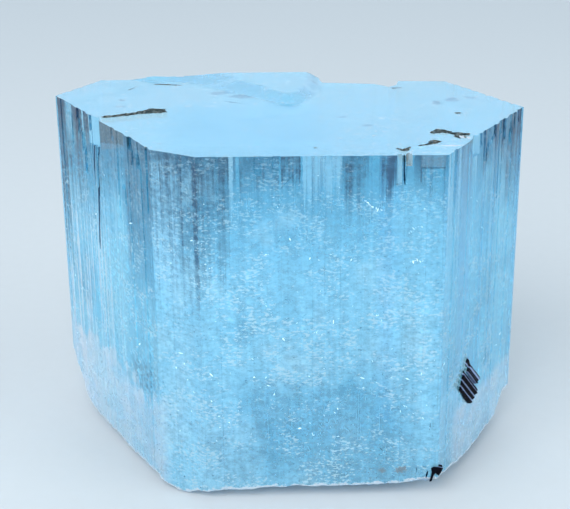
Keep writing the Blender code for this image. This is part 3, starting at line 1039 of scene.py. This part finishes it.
# bands that hang from the top edge of the faces in view: from x, to x, length down in mm, strength
hangingBands = {
    # painted shade: dark bands where the surroundings show dark through the top edge
    "slate": [
        (-24.9, -23.8, 22.0, 1.0), (-23.8, -22.8, 14.0, 0.85), (-22.8, -21.4, 13.0, 0.95),
        (-21.4, -19.2, 15.0, 0.55), (-19.2, -17.2, 10.0, 0.55), (-17.2, -15.9, 9.0, 0.55),
        (-15.9, -12.9, 13.0, 0.75), (-12.85, -10.15, 14.0, 0.75), (-10.1, -8.4, 18.0, 0.95),
        (-8.4, -5.4, 14.0, 0.68), (-4.4, -0.7, 4.6, 0.70), (-0.6, 1.4, 3.4, 1.0), (5.3, 7.5, 6.5, 0.78),
        (8.9, 10.3, 4.8, 1.0), (11.9, 12.6, 3.8, 1.0), (19.3, 20.3, 5.5, 0.85), (20.6, 22.6, 7.0, 0.60),
        (22.6, 24.7, 11.0, 0.75),
    ],
    # painted shade, near black, in the same way
    "night": [
        (-24.8, -23.85, 4.6, 1.0), (-22.75, -21.9, 5.2, 1.0), (-21.85, -21.45, 5.0, 1.0),
        (-21.25, -20.45, 5.4, 1.0), (-19.0, -16.0, 2.4, 0.25), (-15.9, -12.9, 2.8, 0.4),
        (-12.85, -10.15, 3.4, 0.55), (-10.1, -5.4, 3.4, 0.55), (11.9, 12.7, 2.8, 0.6), (19.6, 19.9, 3.4, 0.7),
        (20.9, 21.5, 3.6, 0.9), (21.8, 22.3, 4.2, 1.0), (23.3, 23.95, 5.6, 0.9), (24.0, 24.65, 5.4, 1.0),
    ],
    # painted highlights: pale lines down the side edges and pale streaks under the top edge
    "pale": [
        (-25.6, -24.95, 60.0, 0.8), (-23.75, -22.85, 4.8, 0.55), (-21.42, -21.28, 3.6, 1.0),
        (-17.0, -16.0, 4.0, 0.2), (-5.3, -4.9, 7.0, 0.6), (1.5, 5.1, 5.0, 0.55), (15.1, 15.35, 12.0, 0.9),
        (15.35, 16.4, 9.0, 0.2), (16.4, 16.55, 9.0, 0.7), (16.55, 18.3, 9.0, 0.2), (18.3, 18.5, 6.0, 0.9),
        (22.35, 22.5, 3.5, 0.8), (24.75, 25.6, 60.0, 0.7),
    ],
}
bandReach = 26.0    # mm on both sides of the middle that the bands are spread over

# tones in the front bite: from x, to x, lowest height, colour; the first is painted light in its shaded
# recess, the second the notch's own grey-beige
frontBiteTones = [(10.3, 10.95, 33.0, "glow"), (11.1, 11.9, 35.3, "sand")]
# spots in the top, painted glints and grey smears: x, y, half length and half width in mm
whiteBruises = [
    (17.15, -9.2, 0.3, 0.6), (17.72, -9.6, 0.2, 0.5), (15.5, -12.2, 1.2, 0.28), (-10.3, 3.3, 0.5, 0.3),
    (-7.9, 3.2, 0.8, 0.35), (-5.9, 2.9, 0.2, 0.4), (-3.9, -6.0, 0.5, 0.4), (-2.3, -6.9, 0.4, 0.4),
    (-4.7, -8.6, 0.3, 0.3),
]
# grey smears; the two at the mound's foot are the painted dark reflection of its slope
greySmears = [
    (16.1, 3.9, 0.55, 0.8), (17.8, 5.2, 0.8, 1.0), (20.1, 5.8, 0.7, 0.3), (5.8, -1.6, 0.9, 0.3),
    (8.2, -4.9, 0.5, 0.3), (-7.0, 8.9, 1.2, 0.8), (-4.4, 7.3, 1.6, 0.9), (-17.4, 6.0, 0.5, 0.3),
    (-17.3, 3.4, 0.7, 0.3), (2.9, -12.6, 0.35, 0.35),
]
# earth caught low in the front face: from x, to x, from height, to height
earthPatches = [(9.0, 9.9, 2.9, 3.6), (10.8, 12.3, 2.9, 3.6)]

# paler and deeper areas of the body, laid on in this order: colour, share, where across and where up in mm,
# and whether only on the faces in view; three numbers are a strip with a soft edge, two a slope from 0 to 1
bodyAreas = [
    ("teal", 0.5, (-4.0, 12.0, 2.5), (2.5, 13.0, 3.5), False),
    ("paleMilk", 0.45, (-9.5, -3.0, 1.5), (10.5, 7.5), False),
    ("slate", 0.13, (0.0, 3.0), (5.0, 3.0), True),
    ("teal", 0.14, (-13.0, -8.4, 0.5), (9.0, 22.0, 3.0), True),
    ("milk", 0.55, (15.3, 18.9, 0.2), (14.0, 26.0), True),
    ("milk", 0.45, (9.5, 15.5, 1.5), (18.0, 33.0, 3.0), False),
    ("teal", 0.8, (-16.0, -12.9, 0.12), (21.5, 38.0, 3.0), True),
    ("paleMilk", 0.75, (-19.8, -16.2, 0.8), (13.0, 23.5, 2.5), True),
    ("lavender", 0.7, (-12.9, -10.3, 0.06), (22.5, 38.0, 2.5), True),
]

aquamarineLook = {
    "milk": (0.34, 0.76, 0.96),         # linear colour of the cloudy body
    "paleMilk": (0.48, 0.84, 0.98),
    "deepMilk": (0.095, 0.42, 0.62),
    "teal": (0.08, 0.37, 0.54),
    # the dark lines under the top edge are painted shade
    "slate": (0.014, 0.07, 0.13),       # the dark lines that hang from the top edge
    "silk": (0.93, 0.95, 1.0),
    "stroke": (0.70, 0.95, 1.0),
    "lavender": (0.42, 0.80, 1.0),
    "topTone": (0.33, 0.80, 1.0),
    "deepTop": (0.22, 0.74, 1.0),
    # painted shade over the two side faces
    "sideTint": (0.66, 0.95, 1.0),      # laid over the two side faces in view
    "stain": (0.05, 0.036, 0.024),
    # near black: painted shade in the bands under the top edge and in the cracks
    "dust": (0.24, 0.20, 0.14),         # beige grains in the slots
    "night": (0.002, 0.028, 0.07),
    # white: the frosting along the broken rim with its painted highlight, and the painted glints on the top
    "rim": (0.95, 0.98, 1.0),
    # painted light in the shaded recess of the front bite
    "glow": (0.56, 0.89, 1.0),
    "sand": (0.80, 0.84, 0.80),
    # grey smears, and the painted dark reflection at the mound's foot
    "smear": (0.12, 0.36, 0.52),
    # painted highlight where the top tilts
    "slope": (0.40, 0.80, 1.0),         # where the top tilts
    "smoke": (0.19, 0.27, 0.33),        # grey patches where the slots show through the faces
    # painted highlight on the facets of the bites and in the pale bands
    "facet": (0.42, 0.78, 0.96),
    "earth": (0.30, 0.27, 0.23),
    "frost": (0.72, 0.82, 0.9),
    "transmission": 0.66,
    "ior": 1.577,
    "absorbColour": (0.10, 0.62, 0.86),
    "absorbDensity": 16,
    "roughness": (0.035, 0.14),
}


def strip(tree, value, low, high, soft):
    # 1 between low and high, 0 outside
    rise = ramp(tree, value, low - soft, low + soft)
    fall = ramp(tree, value, high - soft, high + soft)
    return calc(tree, "SUBTRACT", rise, fall, True)


def spread(tree, value, limits):
    return strip(tree, value, *limits) if len(limits) == 3 else ramp(tree, value, *limits)


def product(tree, *values):
    result = values[0]
    for value in values[1:]:
        result = calc(tree, "MULTIPLY", result, value)
    return result


def tinted(tree, body, share, tone):
    # lays one of the aquamarine's named colours over the body
    return blend(tree, share, body, (*aquamarineLook[tone], 1))


def readPosition(tree):
    # place on the crystal in mm, which zone a face belongs to, and the few noises that the layers share
    position = placeInMm(tree)
    x, y, z = addNode(tree, "SeparateXYZ", Vector=position).outputs
    here = {"position": position, "x": x, "y": y, "z": z}
    for name in (*zoneNames[1:], "aboveRim"):
        here[name] = addNode(tree, "Attribute", attribute_name=name).outputs["Fac"]
    # lines and patches lie on the skin: from inside the crystal only its milk is seen
    here["outside"] = calc(tree, "SUBTRACT", 1.0, addNode(tree, "NewGeometry").outputs["Backfacing"])
    # the faces in view lie in front of a line from the left corner to the right one
    here["front"] = ramp(tree, calc(tree, "ADD", y, calc(tree, "MULTIPLY", x, 0.132)), 5.6, 5.1)
    here["clouds"] = cloud(tree, mapped(tree, position, (0.13, 0.13, 0.11)), 3.0, 0.6)
    here["mottle"] = cloud(tree, mapped(tree, position, (1.4, 1.4, 2.2)), 3.0, 0.7)
    here["groups"] = cloud(tree, mapped(tree, position, (0.36, 0.36, 0.5)), 1.0, 0.5)
    bent = combineVector(tree, x, y, calc(tree, "ADD", z, calc(tree, "MULTIPLY", here["groups"], 0.9)))
    here["strokes"] = cloud(tree, mapped(tree, bent, (2.3, 2.3, 5.2)), 2.5, 0.65)
    here["broad"] = placeGroup(tree, streakGroup, Position=position, Width=2.2, Length=70.0)[0]
    here["lines"] = placeGroup(tree, streakGroup, Position=position, Width=0.38, Length=22.0, Shift=4.0)[0]
    return here


def cloudyBody(tree, here):
    # clearer and deeper near the top, paler lower down, with darker clouds and broad upright streaks
    look = aquamarineLook
    height = calc(tree, "ADD", here["z"], calc(tree, "MULTIPLY", here["clouds"], 8.0))
    body = blend(tree, ramp(tree, height, 22.0, 40.0), (*look["milk"], 1), (*look["deepMilk"], 1))
    body = tinted(tree, body, ramp(tree, here["clouds"], 0.48, 0.74), "paleMilk")
    low = ramp(tree, here["z"], 28.0, 13.0)
    body = tinted(tree, body, product(tree, ramp(tree, here["clouds"], 0.47, 0.33), low, 0.6), "teal")
    for tone, share, across, up, onlyInView in bodyAreas:
        area = product(tree, spread(tree, here["x"], across), spread(tree, here["z"], up), share)
        if onlyInView:
            area = calc(tree, "MULTIPLY", area, here["front"])
        body = tinted(tree, body, area, tone)
    tone = calc(
        tree, "ADD", calc(tree, "MULTIPLY", here["broad"], 0.5), calc(tree, "MULTIPLY", here["lines"], 0.7),
    )
    body = blend(tree, 1.0, body, combineColour(tree, ramp(tree, tone, 0.35, 0.85, 0.9, 1.1)), "MULTIPLY")
    # painted shade: the side faces are a little bluer and darker than the front
    sides = ramp(tree, calc(tree, "ABSOLUTE", calc(tree, "ADD", here["x"], -2.8)), 15.5, 15.8)
    corner = product(tree, strip(tree, here["x"], 15.3, 18.9, 0.3), ramp(tree, here["z"], 8.0, 12.0), 0.75)
    body = blend(tree, calc(tree, "MAXIMUM", sides, corner), body, (*look["sideTint"], 1), "MULTIPLY")
    relief = ramp(tree, here["mottle"], 0.3, 0.7, 0.80, 1.16)
    return blend(tree, ramp(tree, here["z"], 36.0, 20.0, 0.5, 1.0), body, times(tree, body, relief))


def addSilk(tree, here, body):
    # silky zones over the sloping parts of the base, and threads of silk at the left
    x, z = here["x"], here["z"]
    edge = calc(tree, "ADD", 9.0, calc(tree, "MULTIPLY", here["clouds"], 3.0))
    edge = calc(tree, "SUBTRACT", edge, ramp(tree, x, -20.0, -14.0, 0.0, 1.2))
    edge = calc(tree, "ADD", edge, ramp(tree, here["lines"], 0.3, 0.7, -0.7, 0.7))
    edge = calc(tree, "ADD", edge, ramp(tree, here["groups"], 0.3, 0.7, -0.8, 0.8))
    left = calc(
        tree, "MULTIPLY", ramp(tree, calc(tree, "SUBTRACT", z, edge), 0.6, -1.0),
        ramp(tree, x, -11.6, -13.2),
    )
    rightEdge = calc(tree, "ADD", 6.6, calc(tree, "MULTIPLY", here["clouds"], 2.6))
    right = product(
        tree, ramp(tree, calc(tree, "SUBTRACT", z, rightEdge), 0.8, -0.6), ramp(tree, x, 16.6, 17.6), 1.3,
    )
    threads = product(
        tree, ramp(tree, here["lines"], 0.45, 0.65), ramp(tree, x, -15.5, -21.0), ramp(tree, z, 30.0, 21.0),
    )
    share = calc(tree, "MAXIMUM", calc(tree, "MAXIMUM", left, right), threads)
    share = product(
        tree, share, ramp(tree, here["clouds"], 0.3, 0.7, 1.0, 0.6), ramp(tree, x, -22.0, -12.0, 0.95, 0.6),
    )
    share = product(
        tree, share, ramp(tree, here["lines"], 0.3, 0.65, 0.82, 1.1),
        ramp(tree, here["groups"], 0.35, 0.65, 0.75, 1.15),
    )
    shade = product(
        tree, strip(tree, x, -16.2, -13.4, 0.5), strip(tree, z, 9.6, 12.6, 0.8),
        ramp(tree, here["mottle"], 0.65, 0.35),
    )
    body = tinted(tree, body, product(tree, shade, here["outside"], here["front"], 0.65), "slate")
    return tinted(tree, body, share, "silk")


def bandRamp(tree, across, bands):
    # one stop for every edge of a band: red carries its strength and green its length in tens of mm
    moved = calc(tree, "ADD", across, bandReach)
    ramped = addNode(tree, "ValToRGB", Fac=calc(tree, "DIVIDE", moved, 2 * bandReach))
    stops = ramped.color_ramp
    stops.interpolation = "CONSTANT"
    stops.elements.remove(stops.elements[1])
    stops.elements[0].color = (0, 0.1, 0, 1)
    ordered = sorted(bands)
    for i, (low, high, length, strength) in enumerate(ordered):
        stops.elements.new((low + bandReach) / (2 * bandReach)).color = (strength, length / 10, 0, 1)
        if i + 1 == len(ordered) or ordered[i + 1][0] > high:
            stops.elements.new((high + bandReach) / (2 * bandReach)).color = (0, 0.1, 0, 1)
    parts = addNode(tree, "SeparateColor", Color=ramped.outputs["Color"]).outputs
    return parts[0], calc(tree, "MULTIPLY", parts[1], 10.0)


def hungShare(tree, across, depth, kind):
    # how strongly the bands show: full at the top edge, gone at their own length
    strength, length = bandRamp(tree, across, hangingBands[kind])
    left = calc(tree, "SUBTRACT", 1.0, calc(tree, "DIVIDE", depth, length), True)
    return calc(tree, "MULTIPLY", strength, calc(tree, "MULTIPLY", left, 1.7, True))


def addHangingLines(tree, here, body):
    # painted shade: dark lines and mottled bands hanging from the top edge, each to its own length
    x, z = here["x"], here["z"]
    depth = calc(tree, "SUBTRACT", crystal["top"] + 0.5, z)
    hang = ramp(tree, here["broad"], 0.3, 0.75, 2.2, 11.0)
    fade = calc(tree, "SUBTRACT", 1.0, calc(tree, "DIVIDE", depth, hang), True)
    dark = product(tree, calc(tree, "POWER", fade, 0.8), ramp(tree, here["lines"], 0.42, 0.6), 0.75)
    ragged = calc(tree, "ADD", depth, ramp(tree, here["lines"], 0.3, 0.7, -1.4, 1.4))
    across = calc(tree, "ADD", x, ramp(tree, here["mottle"], 0.2, 0.8, -0.08, 0.08))
    inView = calc(tree, "MULTIPLY", here["front"], here["outside"])
    uneven = product(
        tree, ramp(tree, here["mottle"], 0.35, 0.65, 1.1, 0.6),
        ramp(tree, here["lines"], 0.35, 0.6, 1.12, 0.72),
    )
    slate = calc(tree, "MULTIPLY", hungShare(tree, across, ragged, "slate"), uneven)
    body = tinted(tree, body, calc(tree, "MULTIPLY", calc(tree, "MAXIMUM", dark, slate), inView), "slate")
    night = product(
        tree, hungShare(tree, across, ragged, "night"), ramp(tree, here["mottle"], 0.5, 0.7, 1.0, 0.5),
    )
    body = tinted(tree, body, calc(tree, "MULTIPLY", night, inView), "night")
    # pale bands: painted highlight
    pale = calc(tree, "MULTIPLY", hungShare(tree, across, ragged, "pale"), inView)
    return tinted(tree, body, pale, "facet")


def addStrokes(tree, here, body):
    # pale strokes in groups and a few dark ones, most of them low on the faces
    grouped = calc(tree, "ADD", here["strokes"], ramp(tree, here["groups"], 0.3, 0.7, -0.09, 0.07))
    share = product(tree, ramp(tree, grouped, 0.575, 0.66), ramp(tree, here["z"], 36.0, 16.0, 0.3, 0.85))
    body = tinted(tree, body, share, "stroke")
    darker = product(
        tree, ramp(tree, here["strokes"], 0.40, 0.30), here["outside"],
        ramp(tree, here["z"], 34.0, 20.0, 0.25, 0.55),
    )
    body = tinted(tree, body, darker, "teal")
    return tinted(
        tree, body, calc(tree, "MULTIPLY", ramp(tree, here["strokes"], 0.265, 0.24), here["outside"]),
        "slate",
    )


def addRim(tree, here, body):
    # white frosting along the broken rim, brightened with a painted highlight, with some earth caught in it
    rimHeight = calc(
        tree, "ADD", here["aboveRim"],
        calc(tree, "MULTIPLY", calc(tree, "SUBTRACT", 0.5, here["mottle"]), 1.1),
    )
    earth = product(tree, ramp(tree, here["aboveRim"], 1.6, 0.4), ramp(tree, here["mottle"], 0.58, 0.66), 0.3)
    for low, high, bottom, top in earthPatches:
        patch = calc(
            tree, "MULTIPLY", strip(tree, here["x"], low, high, 0.45),
            strip(tree, here["z"], bottom, top, 0.4),
        )
        spotted = ramp(
            tree, calc(tree, "ADD", calc(tree, "MULTIPLY", patch, 0.35), here["mottle"]), 0.68, 0.8,
        )
        earth = calc(
            tree, "MAXIMUM", earth, calc(tree, "MULTIPLY", spotted, ramp(tree, patch, 0.0, 0.4, 0.0, 0.75)),
        )
    body = tinted(tree, body, product(tree, earth, here["outside"], here["front"]), "earth")
    frosting = calc(tree, "MULTIPLY", ramp(tree, rimHeight, 0.26, 0.1), here["outside"])
    return tinted(tree, body, frosting, "rim")


def topSpots(tree, here, places):
    # 1 within each of the places in the top, with uneven edges
    share = 0.0
    for x, y, halfLength, halfWidth in places:
        local = mapped(
            tree, here["position"], (1 / halfLength, 1 / halfWidth, 0),
            (-x / halfLength, -y / halfWidth, 0),
        )
        away = addNode(tree, "VectorMath", operation="LENGTH", Vector=local).outputs["Value"]
        uneven = calc(tree, "ADD", away, ramp(tree, here["mottle"], 0.3, 0.7, -0.35, 0.35))
        share = calc(tree, "MAXIMUM", share, ramp(tree, uneven, 1.2, 0.6))
    return calc(tree, "MULTIPLY", share, here["top"])


def addCuts(tree, here, body):
    # grey patches where the slots show through, painted highlights on the bites, the base, the top and the
    # slots
    x, z = here["x"], here["z"]
    inView = calc(tree, "MULTIPLY", here["front"], here["outside"])
    leftFoot = calc(tree, "SUBTRACT", z, calc(tree, "MULTIPLY", x, 0.57))
    leftPatch = calc(tree, "MULTIPLY", strip(tree, x, -18.8, -15.9, 0.1), ramp(tree, leftFoot, 44.1, 44.3))
    frontPatch = calc(tree, "MULTIPLY", strip(tree, x, 12.65, 14.9, 0.08), ramp(tree, z, 35.3, 35.4))
    patches = product(
        tree, calc(tree, "ADD", leftPatch, frontPatch), ramp(tree, here["lines"], 0.3, 0.6, 1.0, 0.6),
        inView,
    )
    patches = calc(tree, "MULTIPLY", patches, ramp(tree, here["strokes"], 0.42, 0.6, 1.0, 0.55))
    body = tinted(tree, body, patches, "smoke")
    underPatch = product(
        tree, strip(tree, x, 12.65, 14.9, 0.05), strip(tree, z, 35.2, 35.32, 0.04), inView, 0.8,
    )
    besidePatch = product(
        tree, strip(tree, x, 12.6, 12.72, 0.03), strip(tree, z, 33.8, 35.3, 0.1), inView, 0.6,
    )
    body = tinted(tree, body, calc(tree, "MAXIMUM", underPatch, besidePatch), "night")
    # painted highlight on the facets of the bites
    body = tinted(tree, body, here["bite"], "facet")
    for low, high, floorHeight, tone in frontBiteTones:
        share = product(
            tree, here["bite"], strip(tree, x, low, high, 0.03),
            ramp(tree, z, floorHeight, floorHeight + 0.1),
        )
        body = tinted(tree, body, share, tone)
    body = tinted(tree, body, here["base"], "frost")
    body = tinted(tree, body, here["top"], "topTone")
    body = blend(
        tree, here["top"], body, times(tree, body, ramp(tree, here["clouds"], 0.35, 0.65, 0.93, 1.03)),
    )
    # grey smears on the top, with the painted dark reflection at the mound's foot
    body = tinted(tree, body, calc(tree, "MULTIPLY", topSpots(tree, here, greySmears), 0.8), "smear")
    # painted glints on the top: white specks and spots
    specks = product(tree, here["top"], ramp(tree, here["strokes"], 0.56, 0.64), 0.5)
    body = tinted(tree, body, calc(tree, "MAXIMUM", specks, topSpots(tree, here, whiteBruises)), "rim")
    middle = product(
        tree, here["top"], strip(tree, x, -11.0, 4.0, 3.0), ramp(tree, here["y"], 6.0, 2.0), 0.85,
    )
    body = tinted(tree, body, middle, "deepTop")
    # painted highlight: the tilted parts of the top are paler
    up = addNode(tree, "SeparateXYZ", Vector=addNode(tree, "TexCoord").outputs["Normal"]).outputs["Z"]
    body = tinted(tree, body, calc(tree, "MULTIPLY", here["top"], ramp(tree, up, 0.998, 0.98)), "slope")
    # painted glints: white dashes on the top
    dashes = product(
        tree, here["top"], ramp(tree, here["strokes"], 0.62, 0.68), ramp(tree, here["groups"], 0.45, 0.6),
        0.6,
    )
    body = tinted(tree, body, dashes, "rim")
    # painted shade: the cracks in the side faces are near black inside
    body = tinted(tree, body, here["crack"], "night")
    stain = tinted(tree, (*aquamarineLook["stain"], 1), ramp(tree, here["strokes"], 0.5, 0.58), "dust")
    return blend(tree, here["fissure"], body, stain)


def makeAquamarine():
    look = aquamarineLook
    material, tree = newMaterial("aquamarine")
    shader = tree.nodes["Principled BSDF"]
    shader.inputs["IOR"].default_value = look["ior"]
    shader.inputs["Transmission Weight"].default_value = look["transmission"]
    here = readPosition(tree)
    body = cloudyBody(tree, here)
    for layer in (addSilk, addHangingLines, addStrokes, addRim, addCuts):
        body = layer(tree, here, body)
    grain = placeGroup(tree, grainGroup, Position=here["position"], Size=0.35, Strength=0.14)
    tree.links.new(times(tree, body, grain["Tone"]), shader.inputs["Base Color"])

    rough = ramp(tree, here["clouds"], 0.35, 0.7, *look["roughness"])
    for zone, extra in (("base", 0.75), ("fissure", 0.5), ("top", 0.12)):
        rough = calc(tree, "ADD", rough, calc(tree, "MULTIPLY", here[zone], extra))
    tree.links.new(rough, shader.inputs["Roughness"])

    volume = addNode(
        tree, "VolumeAbsorption", Color=(*look["absorbColour"], 1), Density=look["absorbDensity"],
    )
    tree.links.new(volume.outputs[0], tree.nodes["Material Output"].inputs["Volume"])
    return material


def grainedColour(tree, look):
    # a plain colour under fine grain; gives back the grain's height
    grain = placeGroup(
        tree, grainGroup, Position=placeInMm(tree), Size=look["grain"], Strength=look["unevenness"],
    )
    colour = times(tree, (*look["colour"], 1), grain["Tone"])
    tree.links.new(colour, tree.nodes["Principled BSDF"].inputs["Base Color"])
    return grain["Height"]


flakeLook = {
    "colour": (0.62, 0.82, 0.93),
    "grain": 0.5,           # mm
    "unevenness": 0.1,
    "roughness": (0.25, 0.6),
}


def makeFlakeMaterial():
    material, tree = newMaterial("inner flakes")
    height = grainedColour(tree, flakeLook)
    rough = ramp(tree, height, 0.3, 0.7, *flakeLook["roughness"])
    tree.links.new(rough, tree.nodes["Principled BSDF"].inputs["Roughness"])
    return material


schorlLook = {
    "black": (0.003, 0.003, 0.006),
    "linesPerMm": 1.7,
    "linesStart": -1.62,                # mm across the blades
    # painted sheen: the pale lines stand for light caught on the ribs
    "stripe": (0.24, 0.32, 0.50),       # pale, bluish lines along the ribs
    "roughness": (0.08, 0.2),
    "specular": 0.02,
}


def makeSchorl():
    look = schorlLook
    material, tree = newMaterial("schorl")
    shader = tree.nodes["Principled BSDF"]
    position = placeInMm(tree)
    x, y, z = addNode(tree, "SeparateXYZ", Vector=position).outputs
    # the streaks run down the crystal's own length, its local x; the flanks that face up get painted
    # highlight
    turned = combineVector(tree, y, calc(tree, "MULTIPLY", z, 0.3), x)
    streaks = placeGroup(tree, streakGroup, Position=turned, Width=0.24, Length=6.0, Shift=1.5)[0]
    grain = placeGroup(tree, grainGroup, Position=position, Size=0.25, Strength=0.5)
    flank = addNode(tree, "SeparateXYZ", Vector=addNode(tree, "TexCoord").outputs["Normal"]).outputs["Y"]
    # painted sheen: pale lines side by side, each a little uneven along its length
    turn = calc(
        tree, "MULTIPLY", calc(tree, "SUBTRACT", look["linesStart"], y), look["linesPerMm"] * 2 * math.pi,
    )
    swing = calc(tree, "SINE", calc(tree, "ADD", turn, streaks))
    stripe = product(tree, ramp(tree, swing, 0.45, 0.95), ramp(tree, streaks, 0.3, 0.55, 0.3, 1.0))
    stripe = calc(tree, "MAXIMUM", stripe, calc(tree, "MULTIPLY", ramp(tree, flank, 0.35, 0.6), 0.5))
    colour = blend(tree, stripe, (*look["black"], 1), (*look["stripe"], 1))
    tree.links.new(colour, shader.inputs["Base Color"])
    shader.inputs["Specular IOR Level"].default_value = look["specular"]
    tree.links.new(ramp(tree, grain["Height"], 0.3, 0.7, *look["roughness"]), shader.inputs["Roughness"])
    return material


floorLook = {
    "colour": (0.52, 0.53, 0.54),
    "grain": 1.5,           # mm
    "unevenness": 0.02,
    "roughness": 0.55,
}


def makeFloor():
    material, tree = newMaterial("pale floor")
    grainedColour(tree, floorLook)
    tree.nodes["Principled BSDF"].inputs["Roughness"].default_value = floorLook["roughness"]
    return material


# build

body = buildAquamarine()
schorlPieces, arch = buildSchorls()
body.data.materials.append(makeAquamarine())
black = makeSchorl()
for piece in (*schorlPieces, arch):
    piece.data.materials.append(black)

flakes = buildFlakes()
needles = buildNeedles()
pale = makeFlakeMaterial()
for piece in (flakes, needles):
    piece.data.materials.append(pale)

for piece in (body, *schorlPieces, arch, flakes, needles):
    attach(piece, "root")
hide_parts("aquamarine_crystal")
for piece in schorlPieces:
    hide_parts("schorl_side")
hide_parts("schorl_base")

# floor, light and camera

studio = {
    "sky": (0.75, 0.88, 1.0),
    "skyStrength": 0.55,
    "floorSize": 4.0,                   # m
    "softboxes": {                      # place and target in m, size in m, power and colour
        "key softbox": ((-0.16, -0.42, 0.40), (0, 0, 0.02), (0.5, 0.4), 3.75, (0.96, 0.99, 1)),
        "left softbox": ((-0.45, -0.16, 0.16), (0, 0, 0.02), (0.3, 0.3), 1.0, (0.80, 0.93, 1)),
        "right softbox": ((0.42, -0.22, 0.20), (0, 0, 0.02), (0.35, 0.35), 1.6, (0.84, 0.95, 1)),
        "back softbox": ((0.0, 0.7, 0.55), (0, 0, 0.03), (1.3, 1.0), 3.7, (0.70, 0.87, 1)),
    },
}

bpy.ops.mesh.primitive_plane_add(size=studio["floorSize"])
floor = bpy.context.object
floor.name = "floor"
floor.data.materials.append(makeFloor())

world = bpy.data.worlds.new("studio")
world.use_nodes = True
world.node_tree.nodes["Background"].inputs["Color"].default_value = (*studio["sky"], 1)
world.node_tree.nodes["Background"].inputs["Strength"].default_value = studio["skyStrength"]
bpy.context.scene.world = world

camera = {
    "place": (-0.09, -133.12, 72.0),    # mm
    "downTilt": 21.0,                   # degrees
    "roll": -0.51,
    "lens": 83.8,
}
cameraData = bpy.data.cameras.new("camera")
cameraData.sensor_width = 36
cameraData.lens = camera["lens"]
cameraData.clip_start = 0.01
cameraObject = bpy.data.objects.new("camera", cameraData)
bpy.context.scene.collection.objects.link(cameraObject)
cameraObject.matrix_world = (
    Matrix.Translation(Vector(camera["place"]) * mm)
    @ Matrix.Rotation(math.radians(90 - camera["downTilt"]), 4, "X")
    @ Matrix.Rotation(math.radians(camera["roll"]), 4, "Z")
)
bpy.context.scene.camera = cameraObject


def addSoftbox(name, place, target, size, power, colour):
    light = bpy.data.lights.new(name, "AREA")
    light.shape = "RECTANGLE"
    light.size, light.size_y = size
    light.energy = power
    light.color = colour
    obj = bpy.data.objects.new(name, light)
    obj.location = place
    obj.rotation_euler = (Vector(target) - Vector(place)).to_track_quat("-Z", "Y").to_euler()
    bpy.context.scene.collection.objects.link(obj)


for name, settings in studio["softboxes"].items():
    addSoftbox(name, *settings)
print("studio and camera done")

bpy.context.scene.view_settings.view_transform = "Standard"
